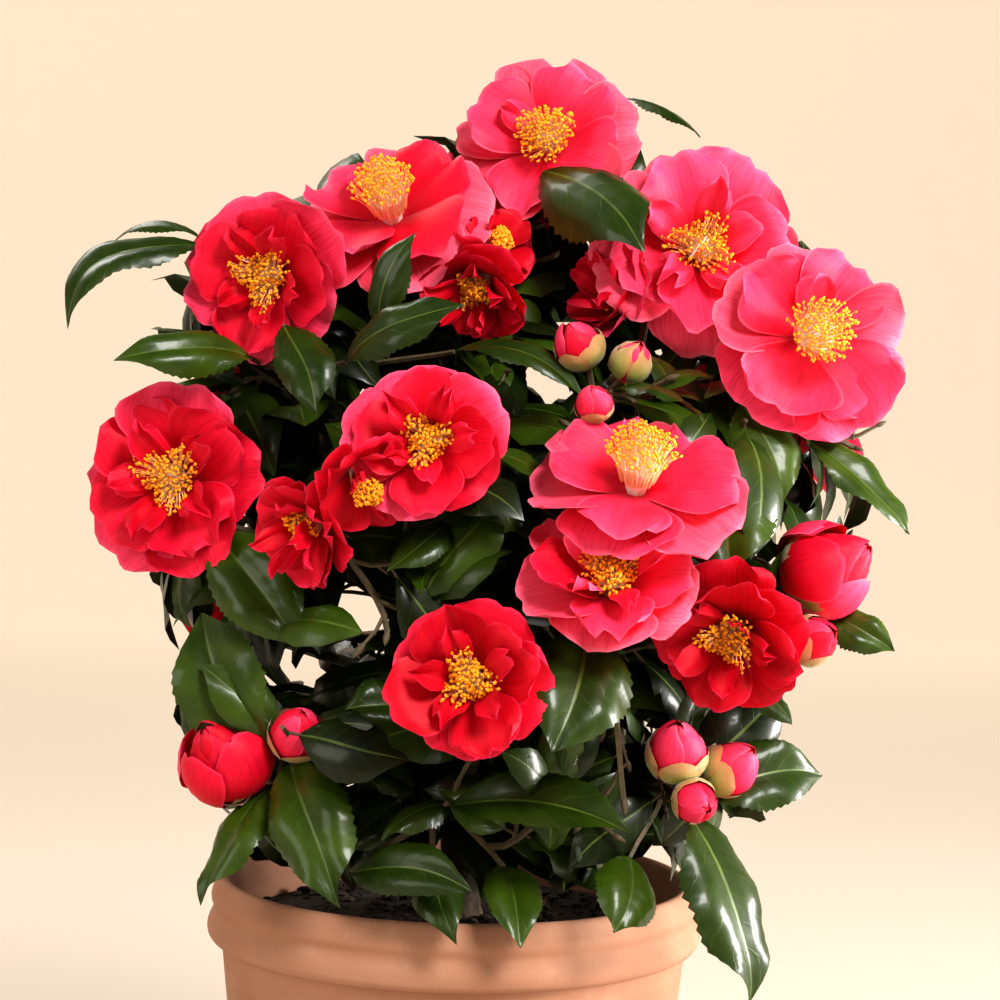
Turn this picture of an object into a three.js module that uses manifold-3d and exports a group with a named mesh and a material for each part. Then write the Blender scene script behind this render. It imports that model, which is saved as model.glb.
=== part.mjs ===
// A camellia in blossom, growing in a terracotta pot.
// Millimetres, +Z up. The origin is the middle of the pot's underside, and the plant's front faces -Y.
import * as THREE from 'three';
import { mergeVertices } from 'three/addons/utils/BufferGeometryUtils.js';
import Module from 'manifold-3d';

const wasm = await Module();
wasm.setup();

// Clearance between neighbouring pieces
const gap = 0.3;

// Small moves tried where a join would leave a seam thinner than a thousandth of a millimetre
const joinNudges = [0, 0.05, -0.08, 0.12];

// Pot: a tapering body under a ledge, a rounded band at its widest, a shallow groove and the rim above it
const potHeight = 240;
const potSides = 30;
const potFootRadius = 97;
const potLedgeHeight = 205.5;
const potBodyRadius = 127;
const potBodySwell = 10;
const potBandRadius = 135;
const potBandHeight = 211.5;
const potGrooveHeight = 222.5;
const potGrooveRadius = 131.4;
const potFlareHeight = 228;
const potFlareRadius = 133;
const potLipOuterRadius = 128.6;
const potLipInnerRadius = 123.5;
const potWall = 12;
const potFloor = 14;
const potBodySteps = [70, 140];
const potInnerStep = 150;
const drainRadius = 6;
const drainOffset = 52;
const drainCount = 3;
const drainSides = 12;

// Soil: fills the pot to a little under the lip, mounded round the stem
const soilTop = 216;
const soilMound = 4;

// Trunk: from its flared foot on the soil to its fork
const trunkTip = new THREE.Vector3(-4, 6, 276);
const trunkLean = new THREE.Vector3(4, -2, 246);
const trunkSides = 10;
const trunkRadius = 9.5;
const trunkTipRadius = 8;
const trunkFlare = 7;
const trunkFlareReach = 0.22;
const trunkSteps = 6;
const groundSize = 100;
const groundCut = 0.2;

// Boughs: how far they spread and rise before they bend to their tip, and how they taper
const boughSpread = 0.3;
const boughRise = 0.6;
const boughSides = 5;
const boughSteps = 5;
const mainBoughRadius = 5.6;
const sideBoughRadius = 4.2;
const boughTipRadius = 3;

// Twigs: three-sided, bending from their parent's direction to that of what they carry
const twigSides = 3;
const stemLength = 26;
const stemRadius = 2.7;
const twigRadius = 1.9;
const twigTipRadius = 1.5;
const petioleRadius = 1.4;
const twigStep = 30;
const twigBend = 0.35;
const twigStraightness = 0.7;
const backwardPenalty = 34;
const rootDepth = 2.4;
const shortestTwig = 10;
const markSpacing = 12;

// Leaves: arched blades folded along the midrib, with a short stalk
const leafArch = 0.09;
const leafFold = 0.13;
const leafThickness = 2.4;
const leafMiddle = 0.44;
const leafRootDepth = 1.1;
const leafShoulder = 0.3;
const leafShoulderWidth = 0.45;
const leafTaper = 0.68;
const leafTaperWidth = 0.38;
const leafLengths = [60, 84];
const leafSlimness = [0.42, 0.52];
const leafSpacing = 11;
const leafTries = 3;
const leafTryTurn = THREE.MathUtils.degToRad(100);
const leafTurn = THREE.MathUtils.degToRad(137.5);
const bladeDistance = 11;
const openBlade = 0.16;
const spaceAllowance = 26;

// Blossoms: an outer and an inner whorl of petals round a boss of stamens
const petals = 6;
const blossomDepth = 0.56;
const cupRise = 12;
const bossRadius = 9;
const closedDepth = 8;
const blossomStalk = 5;
const blossomCollar = 20;

// Buds: rounded cones whose stalk reaches well in
const budSides = 6;
const budLength = 1.15;
const budStalkEnd = 0.45;
const budCollar = 16;

// Shoots: leafy twigs spread round each mass's hub
const shootReach = [46, 78];
const shootSpread = 1.5;
const shootJitter = 0.3;
const shootDistance = 16;
const shootFirst = 2;

// Nothing stands in front of a blossom or a bud: how far behind its face and before it, and how wide
const viewBehind = 0.55;
const viewBefore = 70;
const viewWidth = 1.02;

// The crown's outline: half its width at a few heights, about a line a little right of the pot's middle
const crownMiddle = 10;
const crownDepth = 0.9;
const crownOutline = [[238, 120], [300, 165], [400, 200], [500, 214], [600, 178], [660, 118], [705, 40]];
const crownHeart = new THREE.Vector3(0, 10, 420);

// The photo's outline where it crosses the crown's middle plane: its top along X, its sides up Z
const outlineTop = [
  [-234, 530], [-222, 556], [-196, 590], [-146, 596], [-94, 608], [-71, 642], [-19, 652], [1, 687],
  [47, 701], [77, 674], [116, 669], [141, 634], [186, 599], [236, 562], [253, 464],
];
const outlineLeft = [
  [188, -139], [282, -152], [392, -163], [407, -210], [489, -219], [500, -190], [512, -156], [522, -180],
  [532, -226],
];
const outlineRight = [
  [181, 187], [281, 201], [331, 193], [353, 199], [370, 240], [398, 231], [431, 251], [546, 247],
];

// Openings through the crown, seen from the front: a point in the crown's middle plane, and a radius
const viewPoint = new THREE.Vector3(18.8, -1400, 515);
const openings = [
  [-97, 511, 8], [-103, 473, 9], [-27, 561, 9], [65, 577, 15], [40, 510, 14],
  [-52, 388, 18], [-78, 349, 10], [4, 308, 15], [118, 640, 12],
];

// Boughs: name, the limb each springs from, how far along it, and the tip
const boughRows = [
  ['bough_top', 'trunk', 0.97, [14, 22, 560]],
  ['bough_left', 'trunk', 0.86, [-88, 4, 486]],
  ['bough_right', 'trunk', 0.9, [128, -22, 478]],
  ['bough_back', 'trunk', 0.92, [8, 92, 448]],
  ['bough_front', 'trunk', 0.82, [-24, -82, 412]],
  ['bough_low_front', 'trunk', 0.7, [14, -96, 330]],
  ['bough_low_left', 'trunk', 0.66, [-64, -56, 312]],
  ['bough_low_right', 'trunk', 0.74, [78, -66, 300]],
  ['bough_upper_left', 'bough_top', 0.62, [-34, 8, 548]],
  ['bough_upper_middle', 'bough_top', 0.72, [8, -14, 530]],
  ['bough_upper_right', 'bough_right', 0.72, [92, -8, 530]],
  ['bough_left_side', 'bough_left', 0.5, [-106, -28, 424]],
  ['bough_front_right', 'bough_right', 0.46, [66, -78, 436]],
  ['bough_lower_right', 'bough_right', 0.3, [66, -92, 370]],
  ['bough_right_side', 'bough_right', 0.38, [124, -66, 376]],
  ['bough_back_top', 'bough_back', 0.7, [-2, 66, 560]],
  ['bough_back_left', 'bough_left', 0.66, [-92, 82, 500]],
  ['bough_back_right', 'bough_right', 0.68, [100, 74, 498]],
  ['bough_back_low_left', 'bough_back', 0.3, [-84, 84, 350]],
  ['bough_back_low_right', 'bough_back', 0.36, [82, 88, 342]],
];

// Masses of foliage: the bough each grows from, its blossoms (where, facing, width, how far open),
// its buds (where, facing, width), its marked leaves (from, to, width, facing) and its number of shoots
const massRows = [
  {
    name: 'foliage_top', bough: 'bough_top', shoots: 4,
    blossoms: [[[37, -10, 647], [-0.2, -0.9, 0.3], 100, 1], [[26, 76, 634], [0.1, 0.8, 0.6], 84, 0.9]],
    leaves: [[[75, -5, 667], [121, -20, 645], 15], [[38, -8, 625], [87, -88, 584], 50, [0.1, -1, 0.3]]],
  },
  {
    name: 'foliage_upper_left', bough: 'bough_upper_left', shoots: 2,
    blossoms: [[[-48, -40, 614], [-0.2, -0.7, 0.65], 108, 1]],
    leaves: [[[-47, -70, 536], [-28, -85, 586], 24, [-0.3, -0.9, 0.2]]],
  },
  {
    name: 'foliage_left_shoulder', bough: 'bough_left', shoots: 2,
    blossoms: [[[-110, -60, 562], [-0.35, -0.9, -0.1], 92, 1]],
    leaves: [
      [[-143, -50, 579], [-205, -85, 537], 30, [-0.2, -0.8, 0.55]], [[-143, -36, 582], [-192, -20, 582], 18],
      [[-114, -55, 520], [-178, -95, 519], 30, [-0.1, -0.85, 0.5]],
      [[-95, -70, 537], [-75, -110, 493], 32, [-0.2, -0.85, 0.5]],
    ],
  },
  {
    name: 'foliage_upper_middle', bough: 'bough_upper_middle', shoots: 2,
    blossoms: [
      [[16, -30, 587], [0.4, -0.7, 0.5], 46, 0.6], [[1, -52, 557], [-0.35, -0.75, -0.5], 62, 0.8],
    ],
    leaves: [
      [[-62, -80, 519], [-2, -110, 550], 30, [0.1, -0.8, 0.6]],
      [[-7, -70, 526], [60, -100, 504], 23, [0.1, -0.5, 0.85]],
    ],
  },
  {
    name: 'foliage_upper_right', bough: 'bough_upper_right', shoots: 3,
    blossoms: [
      [[124, -28, 589], [0.1, -0.9, 0.25], 112, 1], [[76, -14, 561], [-0.6, -0.4, 0.3], 58, 0.5],
    ],
    leaves: [],
  },
  {
    name: 'foliage_right', bough: 'bough_right', shoots: 3,
    blossoms: [[[178, -110, 542], [0.2, -0.95, 0.15], 106, 1]],
    leaves: [
      [[175, -80, 486], [229, -95, 441], 30, [0.3, -0.75, 0.6]],
      [[142, -75, 503], [161, -105, 455], 38, [0, -0.85, 0.5]],
      [[129, -88, 466], [134, -135, 416], 54, [0, -0.9, 0.5]],
    ],
  },
  {
    name: 'foliage_left_side', bough: 'bough_left_side', shoots: 3,
    blossoms: [[[-154, -80, 458], [-0.25, -0.95, 0.1], 102, 1]],
    leaves: [[[-127, -70, 428], [-81, -105, 375], 47]],
  },
  {
    name: 'foliage_front', bough: 'bough_front', shoots: 1,
    blossoms: [
      [[-18, -150, 483], [-0.05, -0.95, 0.15], 80, 0.9], [[-45, -150, 455], [0.35, -0.6, -0.6], 57, 0.3],
      [[-80, -130, 435], [-0.5, -0.7, -0.4], 60, 0.6],
    ],
    leaves: [[[-3, -110, 440], [-36, -140, 417], 25]],
  },
  {
    name: 'foliage_front_right', bough: 'bough_front_right', shoots: 2,
    blossoms: [[[87, -150, 481], [0.05, -0.6, 0.8], 108, 1]],
    buds: [[[56, -90, 532], [-0.4, -0.5, 0.7], 24], [[84, -90, 524], [0.3, -0.5, 0.7], 20],
      [[64, -120, 503], [-0.1, -0.6, 0.7], 18]],
    leaves: [[[74, -95, 508], [120, -120, 496], 26]],
  },
  {
    name: 'foliage_lower_right', bough: 'bough_lower_right', shoots: 1,
    blossoms: [[[74, -160, 424], [0, -0.75, 0.6], 88, 1]],
    leaves: [[[66, -126, 388], [46, -186, 336], 56, [0, -0.8, 0.6]]],
  },
  {
    name: 'foliage_right_side', bough: 'bough_right_side', shoots: 3,
    blossoms: [
      [[132, -140, 386], [-0.3, -0.85, -0.3], 82, 0.9],
    ],
    buds: [[[178, -120, 387], [0.6, -0.6, 0.3], 24], [[187, -100, 422], [0.75, -0.35, 0.5], 42]],
    leaves: [
      [[185, -90, 397], [221, -105, 382], 25, [0.1, -0.8, 0.6]],
      [[148, -100, 358], [170, -105, 342], 18],
    ],
  },
  {
    name: 'foliage_low_front', bough: 'bough_low_front', shoots: 5,
    blossoms: [[[5, -180, 369], [-0.2, -0.95, 0.1], 82, 0.9]],
    leaves: [
      [[-27, -98, 345], [-70, -120, 347], 38, [0, -0.85, 0.5]],
      [[-2, -120, 298], [87, -170, 296], 39], [[-51, -120, 263], [11, -165, 264], 30],
      [[26, -110, 266], [35, -160, 238], 31], [[-10, -106, 268], [3, -158, 240], 28],
      [[0, -112, 297], [-35, -140, 285], 20, [0, -0.6, 0.8]],
    ],
  },
  {
    name: 'foliage_low_left', bough: 'bough_low_left', shoots: 3,
    blossoms: [],
    buds: [[[-120, -90, 315], [-0.4, -0.5, 0.75], 40], [[-81, -100, 331], [0.2, -0.6, 0.6], 27]],
    leaves: [
      [[-97, -90, 318], [-135, -70, 387], 53], [[-84, -105, 319], [-55, -148, 251], 46],
      [[-93, -80, 300], [-128, -120, 246], 35], [[-20, -72, 297], [-53, -88, 311], 24, [0, -0.8, 0.6]],
      [[-29, -86, 294], [-58, -112, 272], 26, [0.2, -0.8, 0.6]],
    ],
  },
  {
    name: 'foliage_low_right', bough: 'bough_low_right', shoots: 3,
    blossoms: [],
    buds: [[[111, -120, 330], [0, -0.5, 0.85], 29], [[140, -110, 320], [0.6, -0.4, 0.6], 28],
      [[121, -130, 305], [0.4, -0.8, -0.1], 21]],
    leaves: [
      [[117, -120, 298], [154, -150, 212], 53], [[124, -110, 303], [189, -90, 316], 39],
      [[89, -118, 274], [81, -158, 245], 36],
    ],
  },
  {
    name: 'foliage_back', bough: 'bough_back', shoots: 4,
    blossoms: [[[-34, 176, 470], [-0.2, 0.9, 0.3], 92, 1], [[48, 172, 420], [0.3, 0.9, 0.1], 84, 0.9]],
    leaves: [],
  },
  {
    name: 'foliage_back_top', bough: 'bough_back_top', shoots: 4,
    blossoms: [[[-44, 118, 596], [-0.4, 0.75, 0.55], 90, 1]],
    leaves: [],
  },
  {
    name: 'foliage_back_left', bough: 'bough_back_left', shoots: 4,
    blossoms: [[[-134, 100, 532], [-0.7, 0.6, 0.3], 90, 1], [[-168, 44, 464], [-0.9, 0.1, 0.2], 84, 0.9]],
    leaves: [],
  },
  {
    name: 'foliage_back_right', bough: 'bough_back_right', shoots: 4,
    blossoms: [[[166, 88, 528], [0.7, 0.6, 0.3], 92, 1], [[196, 26, 492], [0.95, 0.2, 0.2], 84, 0.9]],
    leaves: [],
  },
  {
    name: 'foliage_back_low_left', bough: 'bough_back_low_left', shoots: 5,
    blossoms: [[[-138, 110, 386], [-0.7, 0.7, 0.2], 84, 0.9]],
    buds: [[[-140, 62, 352], [-0.9, 0.2, 0.4], 26]],
    leaves: [],
  },
  {
    name: 'foliage_back_low_right', bough: 'bough_back_low_right', shoots: 5,
    blossoms: [[[150, 96, 372], [0.8, 0.6, 0.1], 86, 1]],
    buds: [[[70, 158, 330], [0.3, 0.8, 0.4], 26]],
    leaves: [],
  },
];

// Each mass draws its own repeatable numbers
const seedStart = 4021;
const seedStride = 977;

// A repeatable stream of numbers from 0 to 1
function seededStream(seed) {
  let state = seed >>> 0;
  return () => {
    state = (Math.imul(state, 1664525) + 1013904223) >>> 0;
    return state / 4294967296;
  };
}

function between(range, share) {
  return range[0] + (range[1] - range[0]) * share;
}

function vector(row) {
  return new THREE.Vector3(...row);
}

// Solids and geometry

function solidOfGeometry(geometry) {
  const bare = geometry.clone();
  bare.deleteAttribute('normal');
  bare.deleteAttribute('uv');
  const merged = mergeVertices(bare, 1e-4);
  const mesh = new wasm.Mesh({
    numProp: 3,
    vertProperties: new Float32Array(merged.attributes.position.array),
    triVerts: new Uint32Array(merged.index.array),
  });
  mesh.merge();
  return new wasm.Manifold(mesh);
}

function solidOfFaces(points, faces) {
  const geometry = new THREE.BufferGeometry();
  geometry.setAttribute('position', new THREE.Float32BufferAttribute(points.flatMap((p) => p.toArray()), 3));
  geometry.setIndex(faces.flat());
  return solidOfGeometry(geometry);
}

function geometryOfSolid(solid) {
  const mesh = solid.getMesh();
  const geometry = new THREE.BufferGeometry();
  geometry.setAttribute('position', new THREE.Float32BufferAttribute(mesh.vertProperties, 3));
  geometry.setIndex(new THREE.Uint32BufferAttribute(mesh.triVerts, 1));
  geometry.computeVertexNormals();
  return geometry;
}

// The largest body of a solid, with any sealed hollow filled and any loose scrap dropped
function mainBody(solid) {
  const bodies = solid.decompose();
  return bodies.reduce((best, body) => (body.volume() > best.volume() ? body : best));
}

// True where a solid stays closed once corners within a thousandth of a millimetre are one
function weldsCleanly(solid) {
  const geometry = geometryOfSolid(solid);
  geometry.deleteAttribute('normal');
  const welded = mergeVertices(geometry, 1e-3);
  const index = welded.index.array;
  const edges = new Set();
  let single = true;
  for (let i = 0; i < index.length; i += 3) {
    const [a, b, c] = [index[i], index[i + 1], index[i + 2]];
    if (a !== b && b !== c && c !== a) {
      for (const edge of [`${a} ${b}`, `${b} ${c}`, `${c} ${a}`]) {
        single = single && !edges.has(edge);
        edges.add(edge);
      }
    }
  }
  return single && [...edges].every((edge) => edges.has(edge.split(' ').reverse().join(' ')));
}

// Joins a mass's pieces one by one. A piece that would not weld cleanly is nudged a little, or left out
function joined(solids) {
  return solids.reduce((body, solid) => {
    for (const nudge of joinNudges) {
      const next = body.add(solid.translate([nudge, -nudge, nudge / 2]));
      if (weldsCleanly(next)) {
        return next;
      }
    }
    return body;
  });
}

function latheSolid(profile, sides) {
  const points = profile.map(([radius, height]) => new THREE.Vector2(radius, height));
  const geometry = new THREE.LatheGeometry(points, sides);
  geometry.rotateX(Math.PI / 2);
  return solidOfGeometry(geometry);
}

// A tapering limb with flat ends: rings of corners along a curve
function limbSolid(curve, sides, steps, radiusAt) {
  const frames = curve.computeFrenetFrames(steps, false);
  const points = [];
  const faces = [];
  for (let i = 0; i <= steps; i += 1) {
    const centre = curve.getPointAt(i / steps);
    const radius = radiusAt(i / steps);
    for (let k = 0; k < sides; k += 1) {
      const turn = (2 * Math.PI * k) / sides;
      points.push(centre.clone()
        .addScaledVector(frames.normals[i], radius * Math.cos(turn))
        .addScaledVector(frames.binormals[i], radius * Math.sin(turn)));
    }
  }
  for (let i = 0; i < steps; i += 1) {
    for (let k = 0; k < sides; k += 1) {
      const a = i * sides + k;
      const b = i * sides + ((k + 1) % sides);
      faces.push([a, b, b + sides], [a, b + sides, a + sides]);
    }
  }
  const last = steps * sides;
  for (let k = 1; k < sides - 1; k += 1) {
    faces.push([0, k + 1, k], [last, last + k, last + k + 1]);
  }
  return solidOfFaces(points, faces);
}

// A point of the straight stretches that a limb's rings are joined by
function pointOn(curve, steps, share) {
  const place = Math.min(share * steps, steps - 1e-6);
  const below = Math.floor(place);
  return curve.getPointAt(below / steps).lerp(curve.getPointAt((below + 1) / steps), place - below);
}

function twigSteps(curve) {
  return THREE.MathUtils.clamp(Math.round(curve.getLength() / twigStep), 2, 5);
}

// Pot and soil

function potBodyRadiusAt(height) {
  const share = height / potLedgeHeight;
  const rise = potBodyRadius - potFootRadius;
  return potFootRadius + (rise + potBodySwell) * share - potBodySwell * share * share;
}

function buildPot() {
  const outside = [
    [0, 0], [potFootRadius - 2, 0], [potBodyRadiusAt(3), 3],
    ...potBodySteps.map((height) => [potBodyRadiusAt(height), height]), [potBodyRadius, potLedgeHeight],
    [potBandRadius - 3, potLedgeHeight + 0.5], [potBandRadius - 0.7, potLedgeHeight + 3],
    [potBandRadius, potBandHeight], [potBandRadius - 1, potBandHeight + 5],
    [potGrooveRadius, potGrooveHeight], [potFlareRadius, potFlareHeight],
    [potLipOuterRadius + 1.6, potHeight - 4], [potLipOuterRadius, potHeight - 1],
    [potLipOuterRadius - 1, potHeight],
  ];
  const inside = [
    [potLipInnerRadius + 1, potHeight], [potLipInnerRadius, potHeight - 1.5],
    [potLipInnerRadius - 3, potHeight - 14], [potBodyRadiusAt(potInnerStep) - potWall, potInnerStep],
    [potBodyRadiusAt(potFloor) - potWall, potFloor + 5], [potBodyRadiusAt(potFloor) - potWall - 5, potFloor],
    [0, potFloor],
  ];
  let pot = latheSolid([...outside, ...inside], potSides);
  for (let i = 0; i < drainCount; i += 1) {
    const turn = (2 * Math.PI * i) / drainCount;
    const hole = new THREE.CylinderGeometry(drainRadius, drainRadius, potFloor * 3, drainSides);
    hole.rotateX(Math.PI / 2);
    hole.translate(drainOffset * Math.cos(turn), drainOffset * Math.sin(turn), 0);
    pot = pot.subtract(solidOfGeometry(hole));
  }
  return pot;
}

function buildSoil() {
  const wallAtTop = potLipInnerRadius - 3;
  const profile = [
    [0, potFloor + gap], [potBodyRadiusAt(potFloor) - potWall - 5.2, potFloor + gap],
    [potBodyRadiusAt(potFloor) - potWall - gap, potFloor + 5.5],
    [potBodyRadiusAt(potInnerStep) - potWall - gap, potInnerStep],
    [wallAtTop - 2.5, soilTop - 6], [wallAtTop * 0.6, soilTop],
    [trunkRadius + trunkFlare + 6, soilTop + soilMound], [0, soilTop + soilMound],
  ];
  return latheSolid(profile, potSides);
}

// Trunk and boughs

const trunkFoot = new THREE.Vector3(0, 0, soilTop + soilMound + gap);

function trunkRadiusAt(share) {
  const taper = THREE.MathUtils.lerp(trunkRadius, trunkTipRadius, share);
  return taper + trunkFlare * Math.exp(-share / trunkFlareReach);
}

function buildTrunk() {
  const curve = new THREE.QuadraticBezierCurve3(trunkFoot, trunkLean, trunkTip);
  const solidWith = (extra) => {
    const stem = limbSolid(curve, trunkSides, trunkSteps, (share) => trunkRadiusAt(share) + extra);
    // The foot is cut flat at the ground
    const ground = new THREE.BoxGeometry(groundSize, groundSize, groundSize);
    ground.translate(0, 0, trunkFoot.z - groundSize / 2 + (extra > 0 ? -extra : groundCut));
    return stem.subtract(solidOfGeometry(ground));
  };
  return { name: 'trunk', curve, solid: solidWith(0), swollen: solidWith(gap) };
}

function buildBough(row, limbs) {
  const [name, parentName, along, tipRow] = row;
  const parent = limbs.find((limb) => limb.name === parentName);
  const start = parent.curve.getPointAt(along);
  const tip = vector(tipRow);
  const way = tip.clone().sub(start);
  const share = new THREE.Vector3(boughSpread, boughSpread, boughRise);
  const bend = start.clone().add(way.multiply(share));
  const curve = new THREE.QuadraticBezierCurve3(start, bend, tip);
  const foot = parentName === 'trunk' ? mainBoughRadius : sideBoughRadius;
  const solidWith = (extra) => limbSolid(
    curve, boughSides, boughSteps, (share) => THREE.MathUtils.lerp(foot, boughTipRadius, share) + extra,
  );
  const solid = limbs.reduce((rest, limb) => rest.subtract(limb.swollen), solidWith(0));
  return { name, curve, solid: mainBody(solid), swollen: solidWith(gap) };
}

const limbs = [buildTrunk()];
for (const row of boughRows) {
  limbs.push(buildBough(row, limbs));
}

// The pieces that a mass is made of

// A pointed blade of six outline points and a ridge, its top turned towards `up`
function leafSolid(from, to, width, up) {
  const along = to.clone().sub(from);
  const length = along.length();
  along.normalize();
  const side = up.clone().cross(along).normalize();
  const top = along.clone().cross(side);
  const place = (share, across, rise) => from.clone()
    .addScaledVector(along, share * length)
    .addScaledVector(side, across)
    .addScaledVector(top, rise + leafArch * length * Math.sin(Math.PI * share));
  const fold = leafFold * width;
  const half = leafThickness / 2;
  const points = [
    place(0, 0, 0), place(leafShoulder, leafShoulderWidth * width, fold),
    place(leafTaper, leafTaperWidth * width, fold), place(1, 0, 0),
    place(leafTaper, -leafTaperWidth * width, fold), place(leafShoulder, -leafShoulderWidth * width, fold),
    place(leafMiddle, 0, half), place(leafMiddle, 0, -half),
  ];
  const faces = [];
  for (let i = 0; i < 6; i += 1) {
    const next = (i + 1) % 6;
    faces.push([6, next, i], [7, i, next]);
  }
  return solidOfFaces(points, faces);
}

// Turns a solid that is made along +Z so that it points along `way`, and sets it at `place`
function set(solid, place, way, turn) {
  const spin = new THREE.Quaternion().setFromAxisAngle(new THREE.Vector3(0, 0, 1), turn);
  const swing = new THREE.Quaternion().setFromUnitVectors(new THREE.Vector3(0, 0, 1), way);
  const matrix = new THREE.Matrix4().compose(place, swing.multiply(spin), new THREE.Vector3(1, 1, 1));
  return solid.transform(matrix.elements);
}

const pointsPerPetal = 8;

function petalPoints(petal) {
  return Array.from({ length: pointsPerPetal }, (_, i) => 2 + pointsPerPetal * petal + i);
}

// How far a blossom's foot lies behind its stamens' tips
function blossomFoot(width, open) {
  return blossomDepth * width / 2 + closedDepth * (1 - open);
}

// A blossom opening along +Z, with the stamens' tips at the origin: outer petals with three rim points
// each, a crest of inner petals, and the boss of stamens, as one closed surface
function blossomSolid(width, open, vary) {
  const radius = width / 2;
  const depth = blossomFoot(width, open);
  const rise = cupRise * (1 - open);
  const ring = (share, across, height) => {
    const turn = (2 * Math.PI * share) / petals;
    return new THREE.Vector3(across * Math.cos(turn), across * Math.sin(turn), height);
  };
  const points = [new THREE.Vector3(0, 0, -depth), new THREE.Vector3(0, 0, 1)];
  for (let k = 0; k < petals; k += 1) {
    const reach = radius * (1 + 0.16 * (vary() - 0.5));
    const lift = radius * 0.2 * (vary() - 0.5);
    points.push(
      ring(k, radius * 0.6, -depth * 0.66),
      ring(k, radius * 0.82, rise * 0.5 - 0.18 * radius),
      ring(k + 0.24, reach, rise - 0.12 * radius + lift),
      ring(k + 0.76, reach, rise - 0.12 * radius - lift),
      ring(k, radius * 0.64, -depth * 0.42),
      ring(k + 0.5, radius * 0.56, rise + 0.08 * radius + lift),
      ring(k, bossRadius * 1.3, -depth * 0.6),
      ring(k + 0.5, bossRadius, -3),
    );
  }
  const faces = [];
  for (let k = 0; k < petals; k += 1) {
    const [under, notch, lobeA, lobeB, valley, crest, throat, boss] = petalPoints(k);
    const [under2, notch2, , , valley2, crest2, throat2, boss2] = petalPoints((k + 1) % petals);
    faces.push(
      [0, under2, under], [under, lobeA, notch], [under, under2, lobeA],
      [under2, lobeB, lobeA], [under2, notch2, lobeB],
      [valley, notch, lobeA], [valley, lobeA, valley2], [valley2, lobeA, lobeB], [valley2, lobeB, notch2],
      [valley, valley2, crest], [valley2, crest2, crest], [crest, crest2, throat2], [crest, throat2, throat],
      [throat, throat2, boss], [throat2, boss2, boss], [boss, boss2, 1],
    );
  }
  return solidOfFaces(points, faces);
}

// A bud opening along +Z, with its tip at the origin
function budSolid(width) {
  const radius = width / 2;
  const length = width * budLength;
  const profile = [
    [0, -length], [radius * 0.7, -length * 0.8], [radius, -length * 0.5],
    [radius * 0.62, -length * 0.16], [0, 0],
  ];
  return latheSolid(profile, budSides);
}

// The space of the crown

// The value at a place along rows of places and values, in a straight line from row to row
function alongRows(rows, place) {
  const next = rows.findIndex(([at]) => at > place);
  if (next === 0) {
    return rows[0][1];
  }
  if (next < 0) {
    return rows.at(-1)[1];
  }
  const [lowPlace, lowValue] = rows[next - 1];
  const [highPlace, highValue] = rows[next];
  return THREE.MathUtils.mapLinear(place, lowPlace, highPlace, lowValue, highValue);
}

// Where a point is seen from the front against the crown's middle plane
function seenAt(point) {
  const share = viewPoint.y / (viewPoint.y - point.y);
  return [viewPoint.x + (point.x - viewPoint.x) * share, viewPoint.z + (point.z - viewPoint.z) * share];
}

function insideOutline(point) {
  const [x, z] = seenAt(point);
  return z < alongRows(outlineTop, x) && x > alongRows(outlineLeft, z) && x < alongRows(outlineRight, z);
}

function insideCrown(point) {
  const tooLow = point.z < crownOutline[0][0];
  const tooHigh = point.z > crownOutline.at(-1)[0];
  const reach = Math.hypot(point.x - crownMiddle, point.y / crownDepth);
  return !tooLow && !tooHigh && reach < alongRows(crownOutline, point.z) && insideOutline(point);
}

function inOpening(point) {
  const [x, z] = seenAt(point);
  return openings.some(([gapX, gapZ, radius]) => Math.hypot(x - gapX, z - gapZ) < radius);
}

function otherPlaces(mass) {
  return masses.filter((other) => other !== mass).flatMap((other) => other.skeleton.map((mark) => mark.at));
}

function nearest(point, places) {
  return places.reduce((best, place) => Math.min(best, point.distanceTo(place)), Infinity);
}

// Everything placed so far: the limbs, the pot, the soil and each mass's pieces
const placed = [];

function register(owner, solid) {
  placed.push({ owner, solid, box: solid.boundingBox() });
}

function boxesNear(a, b) {
  return [0, 1, 2].every((i) => a.min[i] - gap <= b.max[i] && b.min[i] - gap <= a.max[i]);
}

// True where a solid keeps the gap to all that other masses, the limbs and the pot hold
function keepsClear(owner, solid) {
  const box = solid.boundingBox();
  return placed.every((other) => other.owner === owner || !boxesNear(box, other.box)
    || solid.minGap(other.solid, gap * 2) > gap * 0.95);
}

// Growing a mass

// A twig's ends turn only part of the way from the straight line between them
function twigCurve(start, startWay, end, endWay) {
  const span = end.clone().sub(start);
  const reach = span.length() * twigBend;
  const line = span.normalize();
  const leave = startWay.clone().addScaledVector(line, twigStraightness).normalize();
  const arrive = endWay.clone().addScaledVector(line, twigStraightness).normalize();
  return new THREE.CubicBezierCurve3(
    start, start.clone().addScaledVector(leave, reach), end.clone().addScaledVector(arrive, -reach), end,
  );
}

// Grows a twig and keeps its points, from which later twigs may spring
function growTwig(mass, curve, footRadius, tipRadius) {
  const steps = twigSteps(curve);
  const radiusAt = (share) => THREE.MathUtils.lerp(footRadius, tipRadius, share);
  const solid = limbSolid(curve, twigSides, steps, radiusAt);
  if (!keepsClear(mass.name, solid)) {
    return false;
  }
  register(mass.name, solid);
  mass.solids.push(solid);
  const marks = Math.max(2, Math.round(curve.getLength() / markSpacing));
  for (let i = 1; i <= marks; i += 1) {
    mass.skeleton.push({ at: pointOn(curve, steps, i / marks), way: curve.getTangentAt(i / marks) });
  }
  return true;
}

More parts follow.
